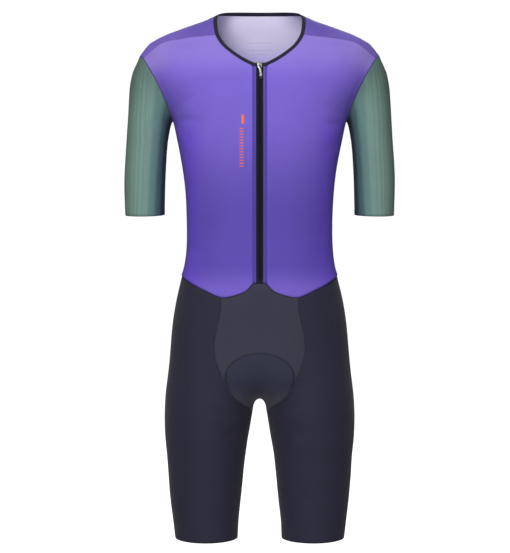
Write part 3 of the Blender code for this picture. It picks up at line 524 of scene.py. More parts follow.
x, y, z = (points / MM).T
other_side = np.where(x > 0, 0.0, 1.9)  # so that the two sides of the zip aren't alike
zip_wave = 0.5 + 0.5 * np.sin(z / 21.0 + 0.8 * np.sin(z / 47.0) + other_side)
beside_zip = bump(zip_gap - BESIDE_ZIP, BESIDE_WIDE) * (normals[:, 1] < 0)
pad_reach = np.sqrt((x / PAD_WIDE) ** 2 + ((z - PAD_MIDDLE) / PAD_TALL) ** 2)
over_pad = (1 - eased(pad_reach, 0.93, 1.03)) * eased(-normals[:, 1], 0.2, 0.5)
over_pad *= np.isin(np.arange(len(points)), quads[numbers == NUMBER["shorts_front"]])

fold = crease_depth(points, normals)
fold += beside_zip * (BESIDE_LEAST + BESIDE_WAVE * zip_wave)
fold += PAD_RISE * over_pad * eased(seam_gap, 0.0, 6.0)
fold += UNEVEN * np.sin(x / 19.0 + z / 37.0) * np.sin(z / 29.0 - x / 53.0 + y / 31.0)
fold -= SEAM_DEEP * bump(seam_gap, SEAM_WIDE)
fold -= HEM_DEEP * bump(hem_gap, HEM_WIDE)
fold *= eased(zip_gap, 0.0, 4.0)  # the zip's edges stay on the tapes
skin_points = points + normals * fold[:, None] * MM
skin_points[:, 0] += np.tanh(x / 2.5) * ZIP_SHOWS * bump(zip_gap, ZIP_DRAWS) * MM


# ---- shader wires ----

class Wire:
    """The value at one socket. Arithmetic on wires adds Math nodes."""

    def __init__(self, nodes, socket):
        self.nodes, self.socket = nodes, socket

    def math(self, operation, *values):
        return self.nodes.add("ShaderNodeMath", {"operation": operation}, *values)

    def __add__(self, other):
        return self.math("ADD", self, other)

    __radd__ = __add__

    def __sub__(self, other):
        return self.math("SUBTRACT", self, other)

    def __rsub__(self, other):
        return self.math("SUBTRACT", other, self)

    def __mul__(self, other):
        return self.math("MULTIPLY", self, other)

    __rmul__ = __mul__

    def __truediv__(self, other):
        return self.math("DIVIDE", self, other)

    def wave(self, length):
        """A sine from -1 to 1 with this wavelength."""
        return self.math("SINE", self * (2 * math.pi / length))

    def size(self):
        return self.math("ABSOLUTE", self)

    def root(self):
        return self.math("SQRT", self)

    def step(self, low, high):
        """0 below low, 1 above high and smooth between."""
        return self.nodes.add(
            "ShaderNodeMapRange", {"interpolation_type": "SMOOTHSTEP"},
            Value=self, **{"From Min": low, "From Max": high})

    def split(self):
        """The numbers of a vector that holds metres, in millimetres."""
        parts = self.nodes.add("ShaderNodeSeparateXYZ", {}, self)
        return [Wire(self.nodes, part) / MM for part in parts.socket.node.outputs]


class Nodes:
    """The nodes of one tree."""

    def __init__(self, tree):
        self.tree = tree

    def add(self, kind, settings, *values, out=0, numbered=(), **named):
        """A node by its type, its settings, and what its sockets take by order, number or name."""
        node = self.tree.nodes.new(kind)
        for setting, value in settings.items():
            if setting == "stops":
                ramp = node.color_ramp
                while len(ramp.elements) < len(value):
                    ramp.elements.new(1.0)
                for element, (place, colour) in zip(ramp.elements, value):
                    element.position, element.color = place, (*colour, 1.0)
            else:
                setattr(node, setting, value)
        for key, value in (*enumerate(values), *numbered, *named.items()):
            self.feed(node.inputs[key], value)
        return Wire(self, node.outputs[out])

    def feed(self, socket, value):
        if isinstance(value, Wire):
            self.tree.links.new(value.socket, socket)
        elif socket.type == "RGBA":
            socket.default_value = (*value, 1.0)
        else:
            socket.default_value = value


class Finish(Nodes):
    """One material and its nodes."""

    def __init__(self, name, **fixed):
        self.material = bpy.data.materials.new(name)
        self.material.use_nodes = True
        super().__init__(self.material.node_tree)
        self.shader = self.tree.nodes["Principled BSDF"]
        for socket, value in fixed.items():
            self.shader.inputs[socket.replace("_", " ")].default_value = value

    def place(self):
        """A place in the object's own space, and its x, y and z."""
        where = self.add("ShaderNodeTexCoord", {}, out="Object")
        return where, *where.split()

    def attribute(self, name):
        return self.add("ShaderNodeAttribute", {"attribute_name": name}, out="Fac")

    def noise(self, where, size, detail=2.0, rough=0.5):
        """About 0.5, with lumps of this size in millimetres."""
        return self.add("ShaderNodeTexNoise", {}, out="Fac", Vector=where,
                        Scale=1.0 / (size * MM), Detail=detail, Roughness=rough)

    def colour(self, colour):
        return self.add("ShaderNodeCombineXYZ", {}, *colour)

    def mix_colours(self, share, first, second):
        return self.add("ShaderNodeMix", {"data_type": "RGBA"}, share,
                        numbered=((6, first), (7, second)), out=2)

    def dim(self, colour, share):
        """The colour times a number that varies."""
        return self.add("ShaderNodeVectorMath", {"operation": "SCALE"}, colour, Scale=share)

    def finish(self, colour, rough, height, depth):
        """Feeds the shader, with a bump from the height, this deep in millimetres."""
        self.feed(self.shader.inputs["Base Color"], colour)
        self.feed(self.shader.inputs["Roughness"], rough)
        bumps = self.add("ShaderNodeBump", {}, Height=height, Distance=depth * MM, Strength=1.0)
        self.feed(self.shader.inputs["Normal"], bumps)
        return self.material


def knit(made, gauge):
    """The height of a fine knit: ribs up the panel, crossed by rows of loops."""
    u, v, _ = made.add("ShaderNodeUVMap", {"uv_map": "cut"}).split()
    rib = u.wave(gauge)
    loop = (v + u.wave(2 * gauge) * (0.25 * gauge)).wave(0.8 * gauge)
    return rib * 0.5 + loop * 0.3 + rib * loop * 0.2


def cloth(name, tint, inside=False, gauge=0.9, rough=0.72, sheen=0.02, seam_shade=0.50):
    """A knitted cloth. tint gives the colour as a wire, from the finish and its coordinates."""
    made = Finish(name, Sheen_Weight=sheen, Sheen_Roughness=0.45, Specular_IOR_Level=0.14)
    where, across, _, up = made.place()
    slow = made.noise(where, 38.0, 2.0)
    fine = made.noise(where, 1.6, 3.0, 0.65)
    weave = knit(made, gauge)
    line = made.attribute("seam").step(0.2, 1.5)
    brim = made.attribute("hem").step(0.2, 1.1)
    shade = 0.95 + slow * 0.10 + (fine - 0.5) * 0.10 + weave * 0.035
    if not inside:
        shade = shade * ((1 - seam_shade) + line * seam_shade) * (0.55 + brim * 0.45)
    colour = made.dim(tint(made, where, across, up), shade)
    roughness = (rough - 0.05) + fine * 0.10
    height = weave * 0.5 + (fine - 0.5) * 0.6 + line * 1.6
    return made.finish(colour, roughness, height, 0.10)


def even(colour):
    """A tint of one colour."""
    return lambda made, where, across, up: made.colour(colour)


# ---- colours ----

PURPLE = (0.180, 0.119, 0.572)
# deep purple: painted shade under the arms, and the deeper band beside the zip
PURPLE_DEEP = (0.075, 0.048, 0.320)
# painted shade over the belly and the waist
PURPLE_PAINTED_SHADE = (0.101, 0.065, 0.405)
PURPLE_YOKE = (0.135, 0.090, 0.420)
# deeper, bluer purple: painted shade down the sides
PURPLE_SIDE = (0.160, 0.084, 0.680)
# paler purple: painted highlight over the upper chest and the shoulders
PURPLE_PAINTED_HIGHLIGHT = (0.330, 0.250, 0.660)
LILAC = (0.820, 0.765, 0.990)
# painted shade: the wrong side darker lower down inside the suit
LILAC_PAINTED_SHADE = (0.500, 0.440, 0.900)
RULE_GREY = (0.30, 0.28, 0.40)
SLEEVE_INSIDE = (0.42, 0.47, 0.46)
SLATE = (0.0260, 0.0250, 0.0460)
# lighter slate for the front of the shorts: painted light, as that panel faces up and to the front
SLATE_FRONT = (0.042, 0.041, 0.065)
# paler slate: painted light below the pad, where the cloth faces down
SLATE_PAINTED_LIGHT = (0.066, 0.064, 0.088)
SLATE_INSIDE = (0.035, 0.035, 0.048)
PAD_SLATE = (0.030, 0.032, 0.060)
PAD_RIM = (0.012, 0.013, 0.028)
PAD_COVER = (0.045, 0.050, 0.080)
ORANGE = (0.820, 0.170, 0.045)

# Round the sleeve, from the outer side at 0 to the side of the body at 1. The colours are the
# print's green, teal and navy, with painted shade added towards the body side.
STRIPES = (
    (0.000, (0.140, 0.240, 0.182)), (0.165, (0.146, 0.246, 0.192)),
    (0.185, (0.170, 0.280, 0.225)), (0.300, (0.165, 0.275, 0.225)),
    (0.320, (0.182, 0.298, 0.256)), (0.550, (0.180, 0.296, 0.262)),
    (0.570, (0.140, 0.250, 0.234)), (0.665, (0.122, 0.226, 0.216)),
    (0.685, (0.080, 0.150, 0.150)), (0.775, (0.066, 0.125, 0.130)),
    (0.795, (0.034, 0.060, 0.076)), (1.000, (0.022, 0.030, 0.042)),
)
LANES = 34.0  # fine lanes round half a sleeve, about

# Plain marks: where each begins and ends across the suit and up it
Mark = namedtuple("Mark", "left right low high")
DASH = Mark(-33.2, -27.8, -208.0, -192.0)
TICKS = Mark(-36.0, -29.0, -288.0, -213.0)
TICK_PITCH = 5.2
RULES = (Mark(-21, 23, -38.4, -37.6), Mark(-21, 23, -52.0, -51.2))
DOTS = Mark(-13, 15, -60.5, -57.5)
DOT_PITCH = 3.1


def marked(across, up, mark, soft=0.3):
    """1 inside a mark, with soft edges."""
    sides = (across - mark.left).step(-soft, soft) * (mark.right - across).step(-soft, soft)
    ends = (up - mark.low).step(-soft, soft) * (mark.high - up).step(-soft, soft)
    return sides * ends


def purple_painted_light(made, across, up):
    """Purple with painted light: a painted highlight over the upper chest and shoulders, and
    painted shade at the waist, under the arms and down the sides.
    """
    aside = across.size()
    # painted highlight over the upper chest and the shoulders
    high = up.step(-135, -58)
    # painted shade over the belly and the waist
    low = (1 - up.step(-390, -200)) * up.step(-510, -460)
    # painted shade down the sides
    side = aside.step(90, 134) * (1 - up.step(-235, -175))
    # painted shade under the arms
    armpit = aside.step(118, 158) * up.step(-235, -185) * (1 - up.step(-165, -115))
    colour = made.mix_colours(high * 0.45, PURPLE, PURPLE_PAINTED_HIGHLIGHT)
    colour = made.mix_colours(low * 0.85, colour, PURPLE_PAINTED_SHADE)
    colour = made.mix_colours(armpit * 0.30, colour, PURPLE_DEEP)
    return made.mix_colours(side * 0.75, colour, PURPLE_SIDE)


def purple_tint(made, where, across, up):
    """Purple, deeper beside the zip, with a painted highlight on the shoulder corners and plain
    dashes on the wearer's right breast.
    """
    beside = made.attribute("zip")
    # a band of deeper purple right beside the zip, and a fainter one along its line of stitches
    facing = 1 - beside.step(6.8, 8.2)
    sewn = beside.step(2.2, 4.2) * (1 - beside.step(6.0, 7.6))
    # painted highlight on the shoulder corners by the armholes
    corner = across.size().step(150, 192) * up.step(-120, -85)
    colour = made.mix_colours(corner * 0.50, purple_painted_light(made, across, up), PURPLE_PAINTED_HIGHLIGHT)
    colour = made.mix_colours(facing * 0.74 + sewn * 0.24, colour, PURPLE_DEEP)
    ticks = marked(across, up, TICKS) * up.wave(TICK_PITCH).step(0.05, 0.35)
    return made.mix_colours(marked(across, up, DASH) + ticks * 0.85, colour, ORANGE)


def yoke_tint(made, where, across, up):
    """The back, a shade deeper, and deepest over the shoulders beside the neck."""
    inner = 1 - across.size().step(112, 165)
    tip = across.size().step(180, 215)
    over = up.step(-80, -50) * (inner * 0.35 - tip * 0.20)
    return made.mix_colours(0.65 + over, purple_painted_light(made, across, up), PURPLE_YOKE)


def lining_tint(made, where, across, up):
    """The pale wrong side, with thin plain rules under the back of the neck, and painted shade
    lower down inside the suit.
    """
    rules = marked(across, up, RULES[0]) + marked(across, up, RULES[1])
    dots = marked(across, up, DOTS, 0.4) * across.wave(DOT_PITCH).step(-0.2, 0.3)
    # painted shade lower down inside the suit
    shaded = made.mix_colours(up.step(-92, -32), LILAC_PAINTED_SHADE, LILAC)
    return made.mix_colours(rules * 0.55 + dots * 0.35, shaded, RULE_GREY)


def shorts_tint(made, where, across, up):
    """Slate, lighter than the legs as painted light, darker where the pad lies behind, and paler
    below it as painted light where the cloth faces down.
    """
    height = (up - PAD_MIDDLE) / PAD_TALL
    reach = across / PAD_WIDE
    ring = (reach * reach + height * height).root()
    pad = (1 - ring.step(0.95, 1.0)) * up.step(-712, -672)
    rim = ring.step(0.93, 0.975) * (1 - ring.step(0.985, 1.03)) * up.step(-695, -670)
    # painted light below the pad, where the cloth faces down
    colour = made.mix_colours(1 - up.step(-715, -665), SLATE_FRONT, SLATE_PAINTED_LIGHT)
    return made.mix_colours(rim * 0.75, made.mix_colours(pad * 0.85, colour, PAD_SLATE), PAD_RIM)


def stripe_tint(made, where, across, up):
    """Long soft stripes round the sleeve: grey green outside, through teal to navy by the body,
    deepened there by painted shade, and darker towards the top.
    """
    turn = made.attribute("turn") + (made.noise(where, 30.0, 1.0) - 0.5) * 0.02
    colour = made.add("ShaderNodeValToRGB", {"stops": STRIPES}, turn)
    lanes = made.add("ShaderNodeTexNoise", {"noise_dimensions": "1D"}, out="Fac",
                     W=turn, Scale=LANES, Detail=2.0)
    top = up.step(-190, -100)
    return made.dim(colour, (0.73 + lanes * 0.38) * (1 - top * 0.33))


purple = cloth("purple knit", purple_tint)
yoke = cloth("purple knit, back", yoke_tint)
lilac = cloth("lilac wrong side", lining_tint, inside=True, rough=0.8)
green = cloth("striped sleeve knit", stripe_tint, gauge=1.1)
pale = cloth("sleeve wrong side", even(SLEEVE_INSIDE), inside=True, rough=0.8)
slate = cloth("slate knit", even(SLATE), sheen=0.10, seam_shade=0.22)
# a lighter copy of the slate knit: painted light on the front panel
slate_front = cloth("slate knit, front", shorts_tint, sheen=0.10, seam_shade=0.22)
dark = cloth("slate wrong side", even(SLATE_INSIDE), inside=True, rough=0.8)


# ---- the cut panels ----

ARMPIT = -205.0  # below this, a sleeve's rings are whole
LEFTMOST = 0.3  # where the middle of a piece lies on its layout, in metres
# The radius at which a piece is laid out flat, in metres
RADIUS = {"sleeve": 0.038, "leg": 0.075}
TRUNK_RADIUS = 0.115


def kind_of(node):
    return node.split("_")[0]


def radius_of(node):
    return RADIUS.get(kind_of(node), TRUNK_RADIUS)


def turn_round(node, places, rings=17):
    """0 on the outer side of a sleeve, 1 on the side of the body, by the angle round its middle."""
    z = places[:, 2]
    bands = np.linspace(z.min(), z.max(), rings + 1)
    middle = []
    for low, high in zip(bands[:-1], bands[1:]):
        band = places[(z >= low) & (z <= high)]
        middle.append((band[:, :2].min(axis=0) + band[:, :2].max(axis=0)) / 2)
    middle = np.array(middle)
    centres = (bands[:-1] + bands[1:]) / 2
    full = centres < ARMPIT * MM
    lean = [np.polyfit(centres[full], middle[full, k], 1) for k in range(2)]
    cx, cy = (np.polyval(line, z) for line in lean)
    outward = (places[:, 0] - cx) * (1 if node == "sleeve_left" else -1)
    return np.arctan2(np.abs(places[:, 1] - cy), outward) / math.pi


def lay_out(node, places):
    """A place on the cut for each point, in metres: round the piece, and up it."""
    low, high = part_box(node)
    middle = (low + high) / 2 if kind_of(node) in RADIUS else Vector()
    start = math.pi / 2 if node == "back" else -math.pi / 2
    angle = np.arctan2(places[:, 1] - middle.y, places[:, 0] - middle.x) - start
    angle = (angle + math.pi) % (2 * math.pi) - math.pi
    return np.stack([LEFTMOST + angle * radius_of(node), places[:, 2] + 1.0], axis=1)


def mesh_from(name, places, faces):
    """A mesh from arrays of points and of faces with equally many corners."""
    mesh = bpy.data.meshes.new(name)
    mesh.vertices.add(len(places))
    mesh.vertices.foreach_set("co", np.asarray(places, np.float32).ravel())
    sides = faces.shape[1]
    mesh.loops.add(faces.size)
    mesh.loops.foreach_set("vertex_index", faces.astype(np.int32).ravel())
    mesh.polygons.add(len(faces))
    mesh.polygons.foreach_set("loop_start", np.arange(0, faces.size, sides, dtype=np.int32))
    mesh.update(calc_edges=True)
    mesh.validate()
    mesh.shade_smooth()
    return mesh


def put_values(mesh, name, values):
    """A number for each point, which a material reads by name."""
    layer = mesh.attributes.new(name, "FLOAT", "POINT")
    layer.data.foreach_set("value", values.astype(np.float32))


def panel_mesh(panel):
    """The panel's part of the skin, with what its material reads."""
    faces = quads[numbers == NUMBER[panel.node]]
    used, local = np.unique(faces, return_inverse=True)
    local = local.reshape(-1, 4)
    places = skin_points[used].copy()
    own = point_normals(places, local)
    waist = bump(waist_gap[used], WAIST_WIDE)
    if NUMBER[panel.node] in TOP:
        flare = eased(np.abs(places[:, 0]) / MM, *FLARE_SIDES) * bump(waist_gap[used], FLARE_WIDE)
        places += own * ((WAIST_OVER * waist + FLARE * flare) * MM)[:, None]
    elif NUMBER[panel.node] in SHORTS:
        places -= own * (WAIST_UNDER * waist * MM)[:, None]
    mesh = mesh_from(panel.node + "_cloth", places, local)
    for name, values in (("seam", seam_shadow), ("hem", hem_gap), ("zip", zip_gap)):
        put_values(mesh, name, values[used])
    if kind_of(panel.node) == "sleeve":
        put_values(mesh, "turn", turn_round(panel.node, points[used]))
    uv = lay_out(panel.node, points[used])[local]
    # a face that crosses the line where the angle starts again is brought round
    wide = 2 * math.pi * radius_of(panel.node)
    u = uv[:, :, 0]
    u += np.where(u.max(axis=1, keepdims=True) - u > wide / 2, wide, 0.0)
    mesh.uv_layers.new(name="cut").data.foreach_set("uv", uv.astype(np.float32).ravel())
    return mesh


# The right side and the wrong side of each kind of panel
SKINS = {
    "back": (yoke, lilac), "front": (purple, lilac), "sleeve": (green, pale),
    "shorts": (slate_front, dark), "leg": (slate, dark),
}

for panel in PANELS:
    piece = new_object("cut_" + panel.node, panel_mesh(panel))
    for material in SKINS[kind_of(panel.node)]:
        piece.data.materials.append(material)
    wall = piece.modifiers.new("Wall", "SOLIDIFY")
    wall.thickness, wall.offset = CLOTH * MM, -1.0
    wall.material_offset = 1
    wall.use_quality_normals = True
    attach(piece, "suit")
    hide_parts(panel.node)


# ---- small parts made many times ----

def as_arrays(bm):
    """A bmesh's points and triangles, and then it is gone."""
    bmesh.ops.triangulate(bm, faces=bm.faces)
    bm.verts.index_update()
    places = np.array([v.co[:] for v in bm.verts])
    faces = np.array([[v.index for v in f.verts] for f in bm.faces])
    bm.free()
    return places, faces


# Where a ring of a bar is along x, how far up, and its half height and half width
Station = namedtuple("Station", "along up tall wide")
FIRST_RING = Station(0.0, 0.0, 1 / MM, 1 / MM)


def bar(stations, sides=5):
    """A rounded bar along x."""
    bm = bmesh.new()
    bmesh.ops.create_circle(bm, cap_ends=True, segments=sides, radius=1.0)
    turn = Matrix.Rotation(math.pi / 2, 4, "Y")
    bmesh.ops.transform(bm, matrix=turn, verts=bm.verts)
    end = list(bm.faces)
    ring = list(bm.verts)
    shape_ring(ring, FIRST_RING, stations[0])
    for before, after in zip(stations, stations[1:]):
        made = bmesh.ops.extrude_face_region(bm, geom=end)["geom"]
        if before is not stations[0]:
            bmesh.ops.delete(bm, geom=end, context="FACES_ONLY")
        end = [g for g in made if isinstance(g, bmesh.types.BMFace)]
        ring = [g for g in made if isinstance(g, bmesh.types.BMVert)]
        shape_ring(ring, before, after)
    bmesh.ops.remove_doubles(bm, verts=bm.verts, dist=1e-9)
    bmesh.ops.recalc_face_normals(bm, faces=bm.faces)
    return as_arrays(bm)


def shape_ring(ring, before, after):
    """Moves one ring of a bar from its last station to the next."""
    for vert in ring:
        up = (vert.co.z - before.up * MM) / (before.tall * MM)
        side = vert.co.y / (before.wide * MM)
        vert.co = Vector((after.along, side * after.wide, after.up + up * after.tall)) * MM


def repeat(name, template, origins, along, aside, up):
    """One mesh of many copies of a template, each in its own axes."""
    places, faces = template
    axes = np.stack([along, aside, up], axis=1)
    moved = np.einsum("pk,nkj->npj", places, axes) + origins[:, None, :]
    shift = np.arange(len(origins))[:, None, None] * len(places)
    return mesh_from(name, moved.reshape(-1, 3), (faces[None] + shift).reshape(-1, faces.shape[1]))


def joined(meshes):
    """One mesh of these, which are then gone."""
    bm = bmesh.new()
    for mesh in meshes:
        bm.from_mesh(mesh)
        bpy.data.meshes.remove(mesh)
    mesh = mesh_of(bm, "joined")
    mesh.shade_smooth()
    return mesh


SURFACE = BVHTree.FromPolygons(skin_points.tolist(), quads.tolist())


def even_line(line, pitch):
    """Points this far apart on a line, about."""
    steps = np.linalg.norm(np.diff(line, axis=0), axis=1)
    travelled = np.concatenate([[0], np.cumsum(steps)])
    count = max(2, int(round(travelled[-1] / (pitch * MM))))
    wanted = np.linspace(0, travelled[-1], count + 1)
    return np.stack([np.interp(wanted, travelled, line[:, k]) for k in range(3)], axis=1)


def on_surface(places):
    """The nearest points of the skin, and the way that it faces there."""
    found = [SURFACE.find_nearest(Vector(place))[:2] for place in places]
    return np.array([at[:] for at, _ in found]), np.array([facing[:] for _, facing in found])


# One stitch, from end to end
THREAD = (
    Station(-0.50, -0.05, 0.10, 0.10),
    Station(-0.32, 0.12, 0.16, 0.17),
    Station(0.32, 0.12, 0.16, 0.17),
    Station(0.50, -0.05, 0.10, 0.10),
)
STITCH_SHARE = 0.78  # a straight stitch's share of the pitch
ZIGZAG_PITCH, ZIGZAG_SWAY = 1.35, 1.05
ZIP_PITCH, ZIP_OFF = 2.6, 5.6  # the straight stitches beside the zip
SHORT_LINE = 4  # lines of no more points than this get no stitches


def stitches(line, pitch, sway=0.0, offset=0.0):
    """Thread laid on the cloth along a line: straight stitches, or a zigzag that sways each way."""
    line = even_line(line, pitch)
    _, facing = on_surface(line)
    ahead = unit(np.gradient(line, axis=0))
    aside = unit(np.cross(facing, ahead))
    swing = offset + sway * np.where(np.arange(len(line)) % 2, 1.0, -1.0)
    places, facing = on_surface(line + aside * (swing * MM)[:, None])
    start, end = places[:-1], places[1:]
    along = (end - start) / MM * (1.0 if sway else STITCH_SHARE)
    up = unit(facing[:-1] + facing[1:])
    side = unit(np.cross(up, along))
    return (start + end) / 2, along, side, up


def thread_piece(name, rows, material):
    """All the stitches of one thread."""
    origins, along, side, up = (np.concatenate([row[k] for row in rows]) for k in range(4))
    piece = new_object(name, repeat(name, bar(THREAD), origins, along, side, up))
    piece.data.materials.append(material)
    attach(piece, "suit")
    return piece


def yarn(name, colour, rough=0.55):
    """A thread with a fine twist."""
    made = Finish(name, Sheen_Weight=0.2)
    where, *_ = made.place()
    ply = made.noise(where, 0.25, 2.0)
    shade = made.dim(made.colour(colour), 0.75 + ply * 0.5)
    return made.finish(shade, rough + ply * 0.1, ply, 0.05)


purple_yarn = yarn("deep purple thread", (0.105, 0.074, 0.340))
slate_yarn = yarn("slate thread", (0.034, 0.034, 0.054))
dark_yarn = yarn("dark thread", (0.022, 0.021, 0.034))


def lines_of(edges):
    return [skin_points[chain] for chain in chains(edges) if len(chain) > SHORT_LINE]


rows = {"purple": [], "dark": [], "waist": []}
for (a, b), edges in seams.items():
    kind = "dark" if a in SHORTS else "waist" if b in SHORTS else "purple"
    for line in lines_of(edges):
        rows[kind].append(stitches(line, ZIGZAG_PITCH, sway=ZIGZAG_SWAY))
for line in lines_of(zip_edges):
    toward = ZIP_OFF if line[len(line) // 2][0] > 0 else -ZIP_OFF
    way = 1.0 if line[0][2] < line[-1][2] else -1.0
    rows["purple"].append(stitches(line, ZIP_PITCH, offset=toward * way))
thread_piece("purple_stitches", rows["purple"], purple_yarn)
thread_piece("slate_stitches", rows["dark"], slate_yarn)
thread_piece("waist_stitches", rows["waist"], dark_yarn)


# ---- binding, zip and pad ----

def softened(node, width, level=0, sharp=40.0):
    """A copy of a frame node with rounded edges, as an object that stands for it."""
    bm = merged(node)
    bmesh.ops.join_triangles(
        bm, faces=bm.faces, angle_face_threshold=math.radians(12),
        angle_shape_threshold=math.radians(70))
    edges = [e for e in bm.edges if e.is_manifold and e.calc_face_angle(0.0) > math.radians(sharp)]
    bmesh.ops.bevel(
        bm, geom=edges, offset=width * MM, offset_type="OFFSET", segments=2, profile=0.5,
        affect="EDGES", material=-1, clamp_overlap=True)
    mesh = held_smooth(bm, level) if level else mesh_of(bm, node + "_finished")
    mesh.shade_smooth()
    return new_object("finished_" + node, mesh)


def braid(name, colour, pitch, rough=0.6):
    """A narrow woven tape: fine slanting ribs."""
    made = Finish(name, Sheen_Weight=0.02, Specular_IOR_Level=0.15)
    where, across, _, up = made.place()
    slant = (up + across.size() * 0.9).wave(pitch)
    cross = (up - across.size() * 0.9).wave(pitch)
    grain = made.noise(where, 0.8, 2.0)
    shade = 0.78 + slant * 0.14 + grain * 0.4
    colour = made.dim(made.colour(colour), shade)
    return made.finish(colour, rough + grain * 0.12, slant + cross * 0.4, 0.10)


def plain(name, colour, rough, metal=0.0, lumps=1.5, depth=0.02, uneven=0.12, **fixed):
    """A metal, rubber or paper with a fine unevenness."""
    made = Finish(name, Metallic=metal, **fixed)
    where, *_ = made.place()
    grain = made.noise(where, lumps, 3.0, 0.6)
    shade = (1 - uneven) + grain * (2 * uneven)
    colour = made.dim(made.colour(colour), shade)
    return made.finish(colour, (rough - 0.06) + grain * 0.12, grain, depth)


black_tape = braid("black zip tape", (0.0120, 0.0110, 0.0185), 1.1)
black_coil = plain("black nylon coil", (0.0120, 0.0110, 0.0170), 0.55, lumps=0.8,
                   Specular_IOR_Level=0.2)
binding_cloth = braid("black binding", (0.022, 0.020, 0.040), 0.8, 0.7)
dull_silver = plain("dull silver", (0.24, 0.24, 0.23), 0.30, 1.0, lumps=0.6, depth=0.015)
silver = plain("brushed silver", (0.44, 0.44, 0.45), 0.27, 1.0, lumps=0.6, depth=0.015)
rubber = plain("black rubber", (0.010, 0.010, 0.012), 0.55, lumps=0.9, depth=0.03)
pad_cover = cloth("pad cover", even(PAD_COVER), inside=True, gauge=2.2, rough=0.8)

binding = softened("neck_binding", 0.5, level=2, sharp=50.0)
binding.data.materials.append(binding_cloth)
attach(binding, "suit")
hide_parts("neck_binding")

for side in ("left", "right"):
    tape = softened("zip_tape_" + side, 0.3)
    tape.data.materials.append(black_tape)
    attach(tape, "suit")
    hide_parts("zip_tape_" + side)

# The coil: loops that lock from the two sides in turn, on the line of the frame's plain bar
COIL_PITCH = 0.72  # from one loop to the next, which is from the other side
COIL_THICK = 1.7
COIL_INSET = 0.8  # the coil ends this far inside the bar's ends
TOOTH = (
    Station(2.45, -0.10, 0.30, 0.22),
    Station(2.20, 0.0, 0.62, 0.31),
    Station(0.40, 0.0, 0.66, 0.31),
    Station(-0.15, 0.0, 0.80, 0.40),
    Station(-0.55, 0.0, 0.66, 0.36),
    Station(-0.75, 0.0, 0.30, 0.20),
)
bar_mesh = merged("zip_chain")
bar_surface = BVHTree.FromBMesh(bar_mesh)
bar_mesh.free()
low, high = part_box("zip_chain")
heights = np.arange(high.z - COIL_INSET * MM, low.z + COIL_INSET * MM, -COIL_PITCH * MM)
line = []
for height in heights:
    hit = bar_surface.ray_cast(Vector((0.0, low.y - 0.05, height)), Vector((0, 1, 0)))[0]
    if hit is not None:
        line.append(hit[:])
line = even_line(np.array(line), COIL_PITCH)
down = unit(np.gradient(line, axis=0))
out = unit(np.cross(down, np.tile([[-1.0, 0.0, 0.0]], (len(line), 1))))
out *= np.where(out[:, 1:2] > 0, -1.0, 1.0)
centre = line - out * (COIL_THICK / 2 * MM)
coils = []
for first, side in ((0, 1.0), (1, -1.0)):
    own = slice(first, None, 2)
    across = np.tile([[side, 0.0, 0.0]], (len(line[own]), 1))
    coils.append(repeat("coil", bar(TOOTH, 6), centre[own], across, down[own] * side, out[own]))
coil = new_object("zip_coil", joined(coils))
coil.data.materials.append(black_coil)
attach(coil, "suit")
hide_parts("zip_chain")

for node, width, body, material, slot_name in (
        ("zip_slider", 0.28, "suit", dull_silver, "silver_metal"),
        ("zip_pull", 0.22, "pull_tab", silver, "silver_metal"),
        ("zip_pull_grip", 0.22, "pull_tab", rubber, "black_rubber")):
    piece = softened(node, width, sharp=30.0)
    piece.data.materials.append(material)
    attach(piece, body)
    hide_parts(node)

pad = softened("seat_pad", 0.6, level=2, sharp=60.0)
pad.data.materials.append(pad_cover)
for name in ("seam", "hem"):
    put_values(pad.data, name, np.full(len(pad.data.vertices), FAR))
pad_uv = pad.data.uv_layers.new(name="cut")
for loop in pad.data.loops:
    place = pad.data.vertices[loop.vertex_index].co
    pad_uv.data[loop.index].uv = (place.x + 0.5, place.y - place.z)
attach(pad, "suit")
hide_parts("seat_pad")

# ---- floor, light and camera ----

FLOOR, FLOOR_RADIUS = -1.02, 30.0
bm = bmesh.new()
bmesh.ops.create_circle(bm, cap_ends=True, segments=96, radius=FLOOR_RADIUS)
bmesh.ops.translate(bm, vec=(0, 0, FLOOR), verts=bm.verts)
floor = new_object("floor", mesh_of(bm, "floor"))
paper = plain("pale paper", (0.30, 0.30, 0.30), 0.9, lumps=400.0, depth=0.01, uneven=0.01,
              Emission_Color=(1, 1, 1, 1), Emission_Strength=1.05)
floor.data.materials.append(paper)
floor.visible_diffuse = floor.visible_glossy = floor.visible_shadow = False


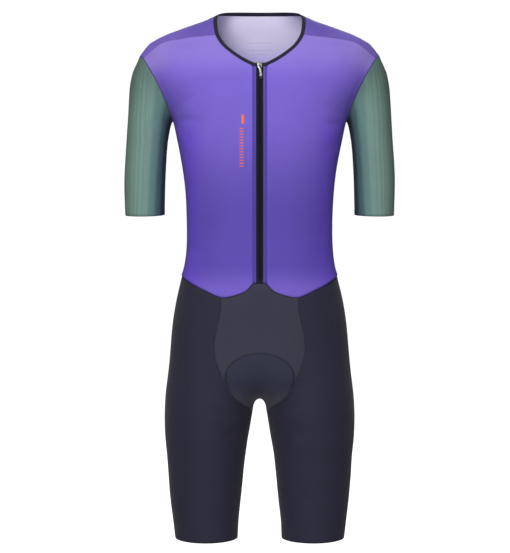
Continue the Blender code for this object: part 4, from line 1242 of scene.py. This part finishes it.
# A soft lamp: where it is and aims, its width and height, in metres, and its power
Lamp = namedtuple("Lamp", "name place aim size power")
LAMPS = (
    Lamp("front_light", (-1.0, -2.6, 0.85), (0, 0, -0.32), (1.3, 1.3), 40.5),
    Lamp("low_light", (0.3, -3.2, -0.75), (0, 0, -0.30), (1.2, 1.0), 8.0),
    Lamp("under_light", (0.15, -2.4, -1.45), (0, 0, -0.70), (1.2, 0.9), 20.0),
    Lamp("top_light", (0.0, -0.8, 1.5), (0, 0, -0.1), (1.4, 1.2), 17.5),
    Lamp("back_light", (0.3, 2.6, 0.9), (0, 0, -0.4), (1.3, 1.2), 34.0),
)


def aim_lamp(lamp, place, aim):
    lamp.location = place
    lamp.rotation_euler = (Vector(aim) - Vector(place)).to_track_quat("-Z", "Y").to_euler()


for lamp in LAMPS:
    light = bpy.data.lights.new(lamp.name, "AREA")
    light.shape, light.size, light.size_y = "RECTANGLE", *lamp.size
    light.energy = lamp.power
    aim_lamp(new_object(lamp.name, light), lamp.place, lamp.aim)

# A narrow lamp that reaches in through the neck
neck_lamp = bpy.data.lights.new("neck_light", "SPOT")
neck_lamp.energy, neck_lamp.shadow_soft_size = 16.0, 0.10
neck_lamp.spot_size, neck_lamp.spot_blend = math.radians(7.4), 0.6
aim_lamp(new_object("neck_light", neck_lamp), (0, -1.3, 0.12), (0, 0.07, -0.035))

# The camera sees pale walls, and little light comes from them
WALL_LIGHT, WALL_SEEN = 0.15, 1.02
WHITE = (1.0, 1.0, 1.0)
world = bpy.data.worlds.new("studio")
world.use_nodes = True
room = Nodes(world.node_tree)
dim_air = room.add("ShaderNodeBackground", {}, WHITE, WALL_LIGHT)
pale_wall = room.add("ShaderNodeBackground", {}, WHITE, WALL_SEEN)
seen = room.add("ShaderNodeLightPath", {}, out="Is Camera Ray")
choice = room.add("ShaderNodeMixShader", {}, seen, dim_air, pale_wall)
room.feed(world.node_tree.nodes["World Output"].inputs["Surface"], choice)
bpy.context.scene.world = world
bpy.context.scene.view_settings.view_transform = "Standard"

CAMERA = (-0.0085, -3.4, -0.482)
LENS = 129.7
SENSOR = 36.0
WIDE, TALL = 510, 553  # the render's proportions
camera_data = bpy.data.cameras.new("camera")
camera = new_object("camera", camera_data)
camera.location = CAMERA
camera.rotation_euler = (math.pi / 2, 0, 0)
camera_data.lens = LENS
camera_data.sensor_width = SENSOR * TALL / WIDE
bpy.context.scene.camera = camera
